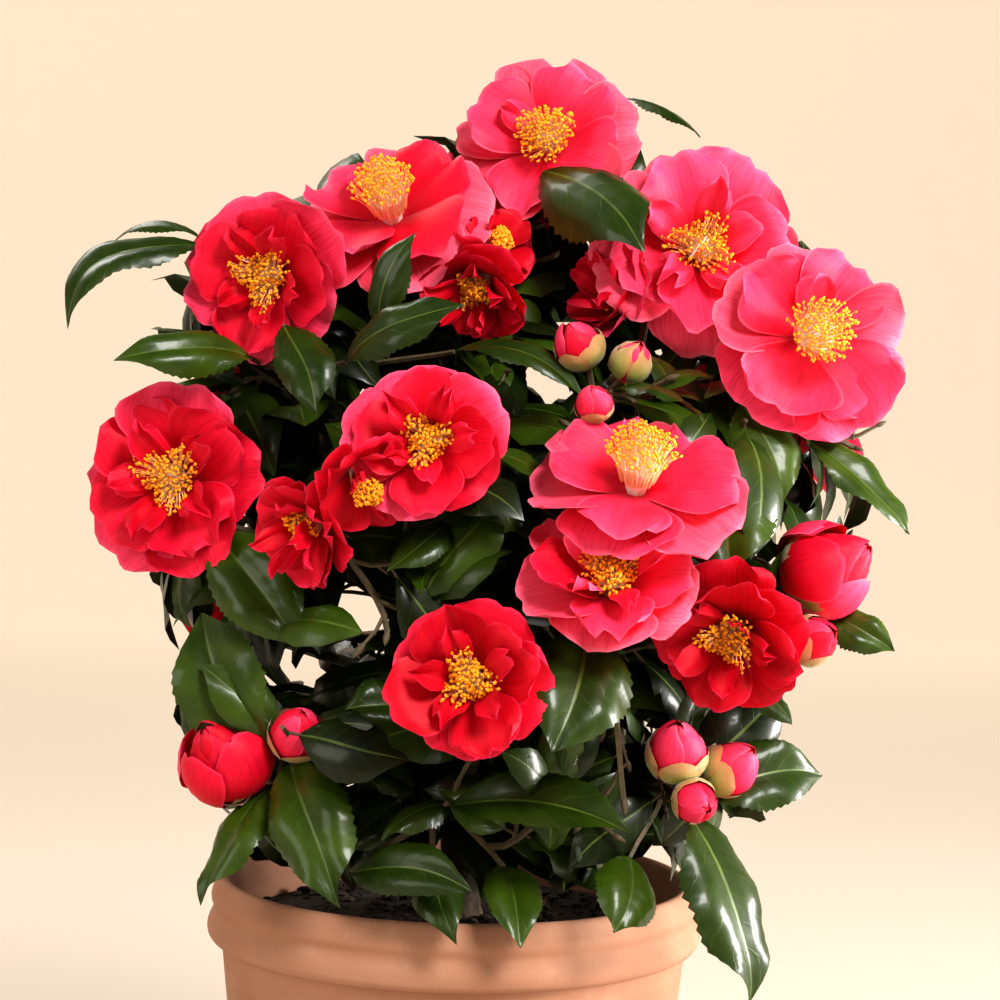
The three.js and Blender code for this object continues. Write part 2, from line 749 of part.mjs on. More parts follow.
// The point of the mass's skeleton from which a twig reaches `end` soonest without turning back
function springPoint(mass, end) {
  const cost = (mark) => {
    const way = end.clone().sub(mark.at);
    const length = way.length();
    const turnsBack = way.dot(mark.way) < 0.2 * length || length < shortestTwig;
    return length + (turnsBack ? backwardPenalty : 0);
  };
  return mass.skeleton.reduce((best, mark) => (cost(mark) < cost(best) ? mark : best));
}

function growTo(mass, end, endWay, tipRadius = twigTipRadius) {
  const mark = springPoint(mass, end);
  const root = mark.at.clone().addScaledVector(mark.way, -rootDepth);
  const curve = twigCurve(root, mark.way, end, endWay);
  return growTwig(mass, curve, Math.max(twigRadius, tipRadius), tipRadius) ? curve : null;
}

// True where the free part of a blade meets nothing else in its own mass
function crossesNone(mass, solid) {
  const box = solid.boundingBox();
  return mass.solids.every((other) => !boxesNear(box, other.boundingBox()) || solid.minGap(other, 1) > 0);
}

function addPiece(mass, solid) {
  if (!keepsClear(mass.name, solid)) {
    return false;
  }
  register(mass.name, solid);
  mass.solids.push(solid);
  return true;
}

function growBlossom(mass, [place, facing, width, open]) {
  const at = vector(place);
  const way = vector(facing).normalize();
  const foot = at.clone().addScaledVector(way, blossomStalk - blossomFoot(width, open));
  const curve = growTo(mass, foot, way);
  const solid = set(blossomSolid(width, open, mass.vary), at, way, 2 * Math.PI * mass.vary());
  if (curve && addPiece(mass, solid)) {
    mass.twigs.push({ curve, first: blossomCollar });
    mass.heads.push({ at, way, radius: width / 2 });
  }
}

function growBud(mass, [place, facing, width]) {
  const at = vector(place);
  const way = vector(facing).normalize();
  const curve = growTo(mass, at.clone().addScaledVector(way, -width * budStalkEnd), way);
  const tip = at.clone().addScaledVector(way, width * 0.5);
  const solid = set(budSolid(width), tip, way, Math.PI * mass.vary());
  if (curve && addPiece(mass, solid)) {
    mass.twigs.push({ curve, first: budCollar });
    mass.heads.push({ at, way, radius: width / 2 });
  }
}

// The way a blade's top faces: up, and out from the heart of the crown
function bladeUp(from, to) {
  const outward = to.clone().sub(crownHeart).normalize();
  return outward.multiplyScalar(0.75).add(new THREE.Vector3(0, 0, 0.8)).normalize();
}

function bladeMarks(from, to) {
  return [0.4, 0.7, 1].map((share) => from.clone().lerp(to, share));
}

function growMarkedLeaf(mass, [start, end, width, facing]) {
  const from = vector(start);
  const to = vector(end);
  const up = facing ? vector(facing).normalize() : bladeUp(from, to);
  const along = to.clone().sub(from).normalize();
  const top = up.clone().addScaledVector(along, -up.dot(along)).normalize();
  const stalkWay = along.addScaledVector(top, Math.PI * leafArch).normalize();
  const curve = growTo(mass, from, stalkWay, petioleRadius);
  const solid = leafSolid(from.clone().addScaledVector(stalkWay, -3 * leafRootDepth), to, width, up);
  if (curve && addPiece(mass, solid)) {
    mass.blades.push(...bladeMarks(from, to));
  }
}

// A leafy shoot from the mass's hub: shoots are spread evenly about the way out of the crown
function growShoot(mass, number) {
  const outward = mass.hub.clone().sub(crownHeart).normalize();
  const across = new THREE.Vector3(0, 0, 1).cross(outward).normalize();
  const tilt = shootSpread * Math.sqrt((number + 0.5) / mass.shoots)
    + shootJitter * (mass.vary() - 0.5);
  const way = outward.clone().applyAxisAngle(across, tilt).applyAxisAngle(outward, leafTurn * number);
  const end = mass.hub.clone().addScaledVector(way, between(shootReach, mass.vary()));
  const crowded = nearest(end, otherPlaces(mass)) < shootDistance;
  if (!insideCrown(end) || inOpening(end) || crowded || hidesHead([end])) {
    return;
  }
  const curve = growTo(mass, end, way);
  if (curve) {
    mass.twigs.push({ curve, first: shootFirst });
  }
}

// True where a blade would lie in front of a blossom or a bud
function hidesHead(marks) {
  return masses.some((mass) => mass.heads.some((head) => marks.some((mark) => {
    const away = mark.clone().sub(head.at);
    const ahead = away.dot(head.way);
    const aside = Math.sqrt(Math.max(0, away.lengthSq() - ahead * ahead));
    return ahead > -viewBehind * head.radius && ahead < viewBefore && aside < head.radius * viewWidth;
  })));
}

// The way a leaf points: out from its twig at an angle round it, leaning along the twig and drooping
function leafWay(axis, turn, lean, droop) {
  const across = Math.abs(axis.z) < 0.9 ? new THREE.Vector3(0, 0, 1) : new THREE.Vector3(1, 0, 0);
  const way = across.cross(axis).normalize().applyAxisAngle(axis, turn).addScaledVector(axis, lean);
  way.z -= droop;
  return way.normalize();
}

// Leaves stand round a twig in a spiral, a golden angle apart, and lean out and down
function growLeaves(mass, others, blades) {
  const own = mass.skeleton.map((mark) => mark.at);
  for (const { curve, first } of mass.twigs) {
    const length = curve.getLength();
    const count = THREE.MathUtils.clamp(Math.floor((length - first) / leafSpacing) + 1, 2, 8);
    let turn = 2 * Math.PI * mass.vary();
    for (let k = 0; k < count; k += 1) {
      turn += leafTurn + 0.5 * (mass.vary() - 0.5);
      const bladeLength = between(leafLengths, mass.vary());
      const width = bladeLength * between(leafSlimness, mass.vary());
      const droop = between([0.12, 0.5], mass.vary());
      const lean = between([0.3, 0.75], mass.vary());
      const share = 1 - (first + k * leafSpacing) / length;
      if (share < 0.06) {
        continue;
      }
      const foot = pointOn(curve, twigSteps(curve), share);
      const axis = curve.getTangentAt(share);
      const fits = (trial) => {
        const way = leafWay(axis, turn + trial * leafTryTurn, lean, droop);
        const tip = foot.clone().addScaledVector(way, bladeLength);
        const marks = bladeMarks(foot, tip);
        const strays = (mark) => nearest(mark, own) > nearest(mark, others) + spaceAllowance;
        const astray = marks.some((mark) => !insideCrown(mark) || inOpening(mark)
          || nearest(mark, blades) < bladeDistance || strays(mark));
        if (astray || hidesHead(marks)) {
          return false;
        }
        const up = bladeUp(foot, tip);
        const blade = leafSolid(foot.clone().addScaledVector(way, -leafRootDepth), tip, width, up);
        const free = leafSolid(foot.clone().addScaledVector(way, openBlade * bladeLength), tip, width, up);
        const taken = crossesNone(mass, free) && addPiece(mass, blade);
        if (taken) {
          blades.push(...marks);
        }
        return taken;
      };
      Array.from({ length: leafTries }, (_, trial) => trial).some(fits);
    }
  }
}

const pot = buildPot();
const soil = buildSoil();
register('pot', pot);
register('soil', soil);
limbs.forEach((limb) => register(limb.name, limb.solid));

const masses = massRows.map((row, index) => ({
  ...row,
  solids: [],
  skeleton: [],
  twigs: [],
  heads: [],
  blades: [],
  vary: seededStream(seedStart + seedStride * index),
}));

// Stems, blossoms, buds and marked leaves come first in every mass, then the shoots, then the other leaves
for (const mass of masses) {
  const bough = limbs.find((limb) => limb.name === mass.bough);
  const way = bough.curve.getTangentAt(1);
  const start = bough.curve.getPointAt(1).addScaledVector(way, gap);
  mass.hub = start.clone().addScaledVector(way, stemLength);
  mass.skeleton.push({ at: start.clone().addScaledVector(way, stemLength * 0.5), way });
  growTwig(mass, new THREE.LineCurve3(start, mass.hub), stemRadius, twigRadius);
}
for (const mass of masses) {
  mass.blossoms.forEach((row) => growBlossom(mass, row));
  (mass.buds ?? []).forEach((row) => growBud(mass, row));
  mass.leaves.forEach((row) => growMarkedLeaf(mass, row));
}
for (const mass of masses) {
  for (let k = 0; k < mass.shoots; k += 1) {
    growShoot(mass, k);
  }
}
const allBlades = masses.flatMap((mass) => mass.blades);
for (const mass of masses) {
  growLeaves(mass, otherPlaces(mass), allBlades);
}

// The finished plant

const terracotta = new THREE.MeshStandardMaterial({ color: '#b5795a', roughness: 0.85, metalness: 0 });
const earth = new THREE.MeshStandardMaterial({ color: '#33251c', roughness: 1, metalness: 0 });
const bark = new THREE.MeshStandardMaterial({ color: '#4b3a2c', roughness: 0.9, metalness: 0 });
const foliage = new THREE.MeshStandardMaterial({ color: '#2c4a22', roughness: 0.35, metalness: 0 });

const camellia = new THREE.Group();

function addMesh(name, solid, material) {
  const mesh = new THREE.Mesh(geometryOfSolid(solid), material);
  mesh.name = name;
  camellia.add(mesh);
}

addMesh('pot', pot, terracotta);
addMesh('soil', soil, earth);
limbs.forEach((limb) => addMesh(limb.name, limb.solid, bark));
masses.forEach((mass) => addMesh(mass.name, mainBody(joined(mass.solids)), foliage));

export default camellia;
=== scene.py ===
import math

import bpy
import numpy as np
from mathutils import Matrix


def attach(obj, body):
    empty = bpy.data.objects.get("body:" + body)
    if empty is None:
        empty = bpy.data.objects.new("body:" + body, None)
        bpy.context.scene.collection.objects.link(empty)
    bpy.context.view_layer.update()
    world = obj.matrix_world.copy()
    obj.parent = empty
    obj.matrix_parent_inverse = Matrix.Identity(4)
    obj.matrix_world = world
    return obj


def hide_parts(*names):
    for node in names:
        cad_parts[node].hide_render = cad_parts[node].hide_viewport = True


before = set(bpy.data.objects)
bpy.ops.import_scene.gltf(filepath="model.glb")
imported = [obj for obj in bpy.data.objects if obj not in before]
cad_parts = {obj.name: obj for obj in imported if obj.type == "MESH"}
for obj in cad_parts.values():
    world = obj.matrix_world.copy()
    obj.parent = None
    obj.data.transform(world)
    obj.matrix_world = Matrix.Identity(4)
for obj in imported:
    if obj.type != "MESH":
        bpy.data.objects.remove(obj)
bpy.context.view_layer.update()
print("frame loaded with", len(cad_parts), "nodes")

# Sizes are millimetres until a mesh is made. The camera, the lights and the floor are in metres.
mm = 0.001


# Small helpers for points and directions

def vec(row):
    return np.array(row, float)


def unit(way):
    return way / max(np.linalg.norm(way), 1e-9)


def turned(way, axis, angle):
    axis = unit(axis)
    return (way * math.cos(angle) + np.cross(axis, way) * math.sin(angle)
            + axis * np.dot(axis, way) * (1 - math.cos(angle)))


# Some direction square to another
def beside(way):
    return unit(np.cross(vec((0, 0, 1)) if abs(way[2]) < 0.9 else vec((1, 0, 0)), way))


def between(span, share):
    return span[0] + (span[1] - span[0]) * share


def seededStream(seed):
    state = [seed]

    def draw():
        state[0] = (state[0] * 1664525 + 1013904223) % 4294967296
        return state[0] / 4294967296
    return draw


# A smooth course through space: its points and how far along it each one is

def course(corners, samples=36):
    share = np.linspace(0, 1, samples + 1)[:, None]
    rows = [np.repeat(vec(corner)[None], samples + 1, 0) for corner in corners]
    while len(rows) > 1:
        rows = [a * (1 - share) + b * share for a, b in zip(rows, rows[1:])]
    steps = np.linalg.norm(np.diff(rows[0], axis=0), axis=1)
    return {"points": rows[0], "reach": np.concatenate([[0], np.cumsum(steps)])}


def lengthOf(path):
    return path["reach"][-1]


def pointAt(path, share):
    along = share * path["reach"][-1]
    return np.array([np.interp(along, path["reach"], path["points"][:, k]) for k in range(3)])


def wayAt(path, share):
    return unit(pointAt(path, min(share + 0.02, 1)) - pointAt(path, max(share - 0.02, 0)))


# The plant's own rows: the places of the part's source, but for a few leaves that stand further back

trunk = {
    "foot": (0, 0, 220.3), "lean": (4, -2, 246), "tip": (-4, 6, 276),
    "radius": 9.5, "tipRadius": 8, "flare": 7, "flareReach": 0.22,
    # Distance between rings, how round they are, and the bark's bumps
    "step": 2.2, "rounds": 10, "relief": {"grain": 5, "height": 2.2},
}

bough = {
    "spread": 0.3, "rise": 0.6, "mainRadius": 5.6, "sideRadius": 4.2, "tipRadius": 3,
    "step": 6, "rounds": 4, "relief": {"grain": 4, "height": 1.1},
}

# Name, the limb it springs from, how far along, and the tip
boughRows = [
    ("bough_top", "trunk", 0.97, (14, 22, 560)),
    ("bough_left", "trunk", 0.86, (-88, 4, 486)),
    ("bough_right", "trunk", 0.9, (128, -22, 478)),
    ("bough_back", "trunk", 0.92, (8, 92, 448)),
    ("bough_front", "trunk", 0.82, (-24, -82, 412)),
    ("bough_low_front", "trunk", 0.7, (14, -96, 330)),
    ("bough_low_left", "trunk", 0.66, (-64, -56, 312)),
    ("bough_low_right", "trunk", 0.74, (78, -66, 300)),
    ("bough_upper_left", "bough_top", 0.62, (-34, 8, 548)),
    ("bough_upper_middle", "bough_top", 0.72, (8, -14, 530)),
    ("bough_upper_right", "bough_right", 0.72, (92, -8, 530)),
    ("bough_left_side", "bough_left", 0.5, (-106, -28, 424)),
    ("bough_front_right", "bough_right", 0.46, (66, -78, 436)),
    ("bough_lower_right", "bough_right", 0.3, (66, -92, 370)),
    ("bough_right_side", "bough_right", 0.38, (124, -66, 376)),
    ("bough_back_top", "bough_back", 0.7, (-2, 66, 560)),
    ("bough_back_left", "bough_left", 0.66, (-92, 82, 500)),
    ("bough_back_right", "bough_right", 0.68, (100, 74, 498)),
    ("bough_back_low_left", "bough_back", 0.3, (-84, 84, 350)),
    ("bough_back_low_right", "bough_back", 0.36, (82, 88, 342)),
]

# Masses of foliage. Blossoms: place, facing, width, how open, tone, habit and turn.
# Buds: place, facing, width, how open, and how much of them their scales cover.
# Leaves: from, to, width and, where it matters, facing and how far they bend aside.
# The four petal tones are lit and shaded copies of one red, from light to dark: the first is painted light
# for the blossoms in the light, the third painted shade for blossoms further back or lower down, and the last
# the painted shade deep inside a blossom or a bud.
roseLit, crimson, deepShaded, heart = range(4)
massRows = [
    {
        "name": "foliage_top", "group": "upper", "shoots": 4,
        "blossoms": [
            ((37, -10, 647), (-0.2, -0.9, 0.3), 100, 1, roseLit, "open", 0.3),
            ((26, 76, 634), (0.1, 0.8, 0.6), 84, 0.9, roseLit, "open", 1),
        ],
        "leaves": [((80, 22, 668), (121, -20, 645), 15), ((38, -8, 625), (87, -88, 584), 50, (0.1, -1, 0.3))],
    },
    {
        "name": "foliage_upper_left", "group": "upper", "shoots": 2,
        "blossoms": [((-48, -40, 614), (-0.2, -0.7, 0.65), 108, 1, roseLit, "saucer", 0.2)],
        "leaves": [((-47, -70, 536), (-28, -85, 586), 24, (-0.3, -0.9, 0.2))],
    },
    {
        "name": "foliage_left_shoulder", "bough": "bough_left", "group": "upper", "shoots": 2,
        "blossoms": [((-110, -60, 562), (-0.35, -0.9, -0.1), 92, 1, crimson, "full", 0.5)],
        "leaves": [
            ((-143, -34, 579), (-205, -85, 537), 32, (-0.2, -0.8, 0.55), -0.15),
            ((-143, -36, 582), (-192, -20, 582), 18),
            ((-114, -55, 520), (-178, -95, 519), 30, (-0.1, -0.85, 0.5)),
            ((-95, -70, 537), (-75, -110, 493), 32, (-0.2, -0.85, 0.5)),
            ((-62, -80, 519), (-2, -110, 550), 30, (0.1, -0.8, 0.6)),
            ((-7, -70, 526), (60, -100, 504), 23, (0.1, -0.5, 0.85)),
        ],
    },
    {
        "name": "foliage_upper_middle", "group": "upper", "shoots": 2,
        "blossoms": [
            ((16, -30, 587), (0.4, -0.7, 0.5), 46, 0.6, deepShaded, "open", 0),
            ((1, -52, 557), (-0.35, -0.75, -0.5), 62, 0.8, deepShaded, "full", 2),
        ],
    },
    {
        "name": "foliage_upper_right", "group": "upper", "shoots": 3,
        "blossoms": [
            ((124, -28, 589), (0.1, -0.9, 0.25), 112, 1, roseLit, "full", 0.9),
            ((76, -14, 561), (-0.6, -0.4, 0.3), 58, 0.5, crimson, "full", 0),
        ],
    },
    {
        "name": "foliage_right", "group": "middle", "shoots": 3,
        "blossoms": [((178, -110, 542), (0.2, -0.95, 0.15), 106, 1, roseLit, "saucer", 0.1)],
        "leaves": [
            ((175, -80, 486), (229, -95, 441), 30, (0.3, -0.75, 0.6)),
            ((142, -75, 503), (161, -105, 455), 38, (0, -0.85, 0.5)),
            ((129, -88, 466), (134, -135, 416), 54, (0, -0.9, 0.5)),
        ],
    },
    {
        "name": "foliage_left_side", "group": "middle", "shoots": 3,
        "blossoms": [((-154, -80, 458), (-0.25, -0.95, 0.1), 102, 1, crimson, "full", 1.4)],
        "leaves": [((-127, -70, 428), (-81, -105, 375), 47)],
    },
    {
        "name": "foliage_front", "group": "middle", "shoots": 1,
        "blossoms": [
            ((-18, -150, 483), (-0.05, -0.95, 0.15), 80, 0.9, crimson, "full", 0.6),
            ((-45, -150, 455), (0.35, -0.6, -0.6), 57, 0.3, deepShaded, "peeking", 0.2),
            ((-80, -130, 435), (-0.5, -0.7, -0.4), 60, 0.6, crimson, "full", 1.1),
        ],
        "leaves": [((-3, -110, 440), (-36, -140, 417), 25)],
    },
    {
        "name": "foliage_front_right", "group": "middle", "shoots": 2,
        "blossoms": [((87, -150, 481), (0.05, -0.6, 0.8), 108, 1, roseLit, "saucer", 0.5)],
        "buds": [
            ((56, -90, 532), (-0.4, -0.5, 0.7), 24, 0, 0.62), ((84, -90, 524), (0.3, -0.5, 0.7), 20, 0, 0.95),
            ((64, -120, 503), (-0.1, -0.6, 0.7), 18, 0, 0.5),
        ],
        "leaves": [((74, -95, 508), (120, -120, 496), 26)],
    },
    {
        "name": "foliage_lower_right", "group": "middle", "shoots": 1,
        "blossoms": [((74, -160, 424), (0, -0.75, 0.6), 88, 1, roseLit, "full", 0.8)],
        "leaves": [((66, -126, 388), (46, -186, 336), 56, (0, -0.8, 0.6))],
    },
    {
        "name": "foliage_right_side", "group": "middle", "shoots": 3,
        "blossoms": [((132, -140, 386), (-0.3, -0.85, -0.3), 82, 0.9, deepShaded, "full", 0.4)],
        "buds": [
            ((178, -120, 387), (0.6, -0.6, 0.3), 24, 0, 0.85),
            ((187, -100, 422), (0.75, -0.35, 0.5), 42, 1, 0.5),
        ],
        "leaves": [
            ((185, -90, 397), (221, -105, 382), 25, (0.1, -0.8, 0.6)),
            ((148, -100, 358), (170, -105, 342), 18),
        ],
    },
    {
        "name": "foliage_low_front", "group": "lower", "shoots": 5,
        "blossoms": [((5, -180, 369), (-0.2, -0.95, 0.1), 82, 0.9, deepShaded, "full", 1.2)],
        "leaves": [
            ((-22, -98, 345), (-55, -116, 346), 36, (0, -0.85, 0.5)), ((-2, -120, 298), (87, -170, 296), 39),
            ((-51, -120, 263), (11, -165, 264), 30), ((26, -110, 266), (35, -160, 238), 31),
            ((-10, -106, 268), (3, -158, 240), 28), ((0, -112, 297), (-35, -140, 285), 20, (0, -0.6, 0.8)),
        ],
    },
    {
        "name": "foliage_low_left", "group": "lower", "shoots": 3,
        "buds": [
            ((-120, -90, 315), (-0.4, -0.5, 0.75), 40, 1, 0.3),
            ((-81, -100, 331), (0.2, -0.6, 0.6), 27, 0, 0.55),
        ],
        "leaves": [
            ((-97, -90, 318), (-135, -70, 387), 53), ((-84, -90, 313), (-55, -148, 251), 46),
            ((-93, -80, 300), (-128, -120, 246), 35), ((-20, -72, 297), (-53, -88, 311), 24, (0, -0.8, 0.6)),
            ((-29, -86, 294), (-58, -112, 272), 26, (0.2, -0.8, 0.6)),
        ],
    },
    {
        "name": "foliage_low_right", "group": "lower", "shoots": 3,
        "buds": [
            ((111, -120, 330), (0, -0.5, 0.85), 29, 0, 0.6),
            ((140, -110, 320), (0.6, -0.4, 0.6), 28, 0, 0.62),
            ((121, -130, 305), (0.4, -0.8, -0.1), 21, 0, 0.6),
        ],
        "leaves": [
            ((117, -120, 298), (154, -150, 212), 53), ((124, -110, 303), (189, -90, 316), 39),
            ((89, -118, 274), (81, -158, 245), 36),
        ],
    },
    {
        "name": "foliage_back", "group": "back", "shoots": 4,
        "blossoms": [
            ((-34, 176, 470), (-0.2, 0.9, 0.3), 92, 1, roseLit, "open", 0.7),
            ((48, 172, 420), (0.3, 0.9, 0.1), 84, 0.9, crimson, "full", 0.3),
        ],
    },
    {
        "name": "foliage_back_top", "group": "back", "shoots": 4,
        "blossoms": [((-44, 118, 596), (-0.4, 0.75, 0.55), 90, 1, roseLit, "saucer", 1)],
    },
    {
        "name": "foliage_back_left", "group": "back", "shoots": 4,
        "blossoms": [
            ((-134, 100, 532), (-0.7, 0.6, 0.3), 90, 1, crimson, "open", 0.1),
            ((-168, 44, 464), (-0.9, 0.1, 0.2), 84, 0.9, roseLit, "full", 1.5),
        ],
    },
    {
        "name": "foliage_back_right", "group": "back", "shoots": 4,
        "blossoms": [
            ((166, 88, 528), (0.7, 0.6, 0.3), 92, 1, crimson, "open", 0.9),
            ((196, 26, 492), (0.95, 0.2, 0.2), 84, 0.9, roseLit, "full", 0.2),
        ],
    },
    {
        "name": "foliage_back_low_left", "group": "back", "shoots": 5,
        "blossoms": [((-138, 110, 386), (-0.7, 0.7, 0.2), 84, 0.9, deepShaded, "open", 0.6)],
        "buds": [((-140, 62, 352), (-0.9, 0.2, 0.4), 26, 0, 0.45)],
    },
    {
        "name": "foliage_back_low_right", "group": "back", "shoots": 5,
        "blossoms": [((150, 96, 372), (0.8, 0.6, 0.1), 86, 1, crimson, "full", 1.2)],
        "buds": [((70, 158, 330), (0.3, 0.8, 0.4), 26, 0, 0.45)],
    },
]

crown = {
    "middle": 10, "depth": 0.9, "heart": (0, 10, 420),
    "levels": (238, 300, 400, 500, 600, 660, 705),
    "halves": (120, 165, 200, 214, 178, 118, 40),
    "viewPoint": (18.8, -1400, 515),
    # The photo's outline where it crosses the crown's middle plane: its top along x, its sides up z
    "top": ((-234, 530), (-222, 556), (-196, 590), (-146, 596), (-94, 608), (-71, 642), (-19, 652), (1, 687),
            (47, 701), (77, 674), (116, 669), (141, 634), (186, 599), (236, 562), (253, 464)),
    "left": ((188, -139), (282, -152), (392, -163), (407, -210), (489, -219), (500, -190), (512, -156),
             (522, -180), (532, -226)),
    "right": ((181, 187), (281, 201), (331, 193), (353, 199), (370, 240), (398, 231), (431, 251), (546, 247)),
    # x, z and radius of the sky's openings there
    "openings": [
        (-97, 511, 8), (-103, 473, 9), (-27, 561, 9), (65, 577, 15), (40, 510, 14),
        (-52, 388, 18), (-78, 349, 10), (4, 308, 15), (118, 640, 12),
    ],
}

twig = {
    "gap": 0.3, "stemLength": 26, "stemRadius": 2.7, "radius": 1.9, "tipRadius": 1.5, "petioleRadius": 1.3,
    "bend": 0.35, "straightness": 0.7, "stalkStraightness": 2.2, "rootDepth": 2.4, "shortest": 10,
    "markSpacing": 12, "step": 9, "rounds": 0, "seed": 4021, "seedStep": 977,
    # How dear it is to spring backwards or to pass before a blossom, which is looked at in these shares
    "forward": 0.2, "backward": 34, "veiling": 90, "passed": (0, 0.2, 0.4, 0.6, 0.8, 0.95),
    "shootReach": (46, 78), "shootSpread": 1.5, "shootTilt": 0.3, "shootDistance": 16,
}

leaf = {
    "arch": 0.09, "lengths": (60, 84), "slimness": (0.42, 0.52), "spacing": 11, "most": 8,
    "droop": (0.12, 0.5), "lean": (0.3, 0.75), "rootless": 0.06, "turnSpread": 0.5,
    # How far it faces away from the crown's heart and up, and the shares of its length that are looked at
    "outward": 0.75, "upward": 0.8, "marks": (0.4, 0.7, 1),
    # Shares of its length and half widths there, of a leaf that the photo shows
    "spots": ((0.25, 0.4), (0.5, 0.5), (0.8, 0.3)),
    "blossomCollar": 20, "budCollar": 16, "shootFirst": 2,
    "tries": 3, "tryTurn": math.radians(100), "turn": math.radians(137.5),
    "distance": 11, "spaceAllowance": 26, "stalk": 7, "stalkRadius": 0.95, "thickness": 0.5,
}

# The finer twigs that only the dressed plant has, and their leaves
spur = {
    "spacing": 8, "lengths": (14, 42), "radius": 1.25, "tipRadius": 0.9, "distance": 6.5, "seed": 71,
    "lean": (0.5, 1), "droop": 0.05, "first": 6, "rootless": 0.1, "turnSpread": 0.6,
    "openingMargin": 4, "bloomMargin": 6,
}
spurLeaf = {
    "lengths": (46, 74), "spacing": 7, "distance": 6.5, "most": 5, "first": 1, "bloomMargin": 5,
    "side": 0.45, "lowest": 236,
}

# Where a blossom or a bud ends behind its middle, in shares of its width, and in millimetres for `shutDepth`
# and `cup`. The source draws this often for a blossom's petals, and once for a bud, so that is kept here.
headForm = {"depth": 0.28, "budDepth": 0.6, "budFoot": 0.45, "shutDepth": 8, "cup": 5, "draws": 13}

# How near to blossoms, buds and the photo's leaves other growth may come: shares of a blossom's radius,
# but millimetres ahead of it. Those that face the viewer and stand far enough forward are kept in view.
clearance = {
    "behind": 0.55, "aside": 1.02, "ahead": 70,
    "petalsBehind": 0.62, "petalsBend": 0.3, "budBehind": 1.1, "petalsAhead": 60, "marginAside": 0.6,
    "viewBehind": 0.3, "viewAside": 0.96, "leafDepth": 3, "facing": 0.2, "forward": 10,
}


# Growing: the source's rule, carried on to finer twigs

def alongRows(rows, place):
    return np.interp(place, [row[0] for row in rows], [row[1] for row in rows])


# Where a point is seen from the front against the crown's middle plane
def seenAt(point):
    eye = crown["viewPoint"]
    share = eye[1] / (eye[1] - point[1])
    return eye[0] + (point[0] - eye[0]) * share, eye[2] + (point[2] - eye[2]) * share


def insideOutline(point):
    x, z = seenAt(point)
    return z < alongRows(crown["top"], x) and alongRows(crown["left"], z) < x < alongRows(crown["right"], z)


def insideCrown(point):
    half = np.interp(point[2], crown["levels"], crown["halves"], 0, 0)
    return math.hypot(point[0] - crown["middle"], point[1] / crown["depth"]) < half and insideOutline(point)


def inOpening(point, margin=0):
    x, z = seenAt(point)
    return any(math.hypot(x - gapX, z - gapZ) < radius + margin for gapX, gapZ, radius in crown["openings"])


def nearest(point, places):
    return np.min(np.linalg.norm(places - point, axis=1)) if len(places) else 1e9


def headDistances(point):
    away = point - headPlaces
    ahead = np.sum(away * headWays, axis=1)
    aside = np.sqrt(np.maximum(0, np.sum(away * away, axis=1) - ahead * ahead))
    return ahead, aside


# True where a blade would lie in front of a blossom or a bud
def hidesHead(marks):
    for mark in marks:
        ahead, aside = headDistances(mark)
        if np.any((ahead > -clearance["behind"] * headRadii) & (ahead < clearance["ahead"])
                  & (aside < clearance["aside"] * headRadii)):
            return True
    return False


# True where a point is among a blossom's petals or before them
def inBloom(marks, margin):
    for mark in marks:
        ahead, aside = headDistances(mark)
        share = np.clip(aside / headRadii, 0, 1)
        bowl = headRadii * np.where(headShut, -clearance["budBehind"],
                                    -clearance["petalsBehind"] + clearance["petalsBend"] * share ** 2)
        if np.any((ahead > bowl - margin) & (ahead < clearance["petalsAhead"])
                  & (aside < headRadii + margin * clearance["marginAside"])):
            return True
    return False


# True where a point lies before a blossom or a bud as the photo's viewer sees it
def veils(marks):
    for mark in marks:
        x, z = seenAt(mark)
        aside = np.hypot(headsSeen[:, 0] - x, headsSeen[:, 1] - z)
        before = mark[1] < headPlaces[:, 1] + clearance["viewBehind"] * headRadii
        if np.any(before & (aside < clearance["viewAside"] * headRadii) & headsFacing):
            return True
    return False


# True where a point lies before one of the leaves that the photo shows
def coversLeaf(marks):
    for mark in marks:
        x, z = seenAt(mark)
        for seenX, seenZ, depth, half in knownLeaves:
            if mark[1] < depth - clearance["leafDepth"] and math.hypot(x - seenX, z - seenZ) < half:
                return True
    return False


def twigCourse(start, startWay, end, endWay, straightness=twig["straightness"]):
    span = end - start
    reach = np.linalg.norm(span) * twig["bend"]
    line = unit(span)
    leave = unit(startWay + line * straightness)
    arrive = unit(endWay + line * straightness)
    return course([start, start + leave * reach, end - arrive * reach, end])


def growTwig(mass, path, footRadius, tipRadius):
    mass["twigs"].append((path, footRadius, tipRadius))
    marks = max(2, round(lengthOf(path) / twig["markSpacing"]))
    for i in range(1, marks + 1):
        mass["marks"].append((pointAt(path, i / marks), wayAt(path, i / marks)))
    return path


def springCost(mark, end):
    span = end - mark[0]
    length = np.linalg.norm(span)
    turnsBack = np.dot(span, mark[1]) < twig["forward"] * length or length < twig["shortest"]
    return length + (twig["backward"] if turnsBack else 0)


# A stalk would rather come from further off than pass before a blossom
def stalkCost(mark, end):
    passed = [mark[0] + (end - mark[0]) * share for share in twig["passed"]]
    return springCost(mark, end) + twig["veiling"] * sum(inBloom([place], 0) for place in passed)


def growTo(mass, end, endWay, tipRadius, straightness=twig["straightness"], cost=springCost):
    at, way = min(mass["marks"], key=lambda mark: cost(mark, end))
    path = twigCourse(at - way * twig["rootDepth"], way, end, endWay, straightness)
    return growTwig(mass, path, max(twig["radius"], tipRadius), tipRadius)


def bladeUp(tip):
    outward = unit(tip - vec(crown["heart"]))
    return unit(outward * leaf["outward"] + vec((0, 0, leaf["upward"])))


def bladeMarks(foot, tip):
    return [foot + (tip - foot) * share for share in leaf["marks"]]


def leafWay(axis, turn, lean, droop):
    way = turned(beside(axis), axis, turn) + axis * lean
    way[2] -= droop
    return unit(way)


def addHead(mass, kind, path, **head):
    mass["leafy"].append((path, leaf[kind + "Collar"]))
    mass["heads"].append({"kind": kind, "radius": head["width"] / 2, **head})


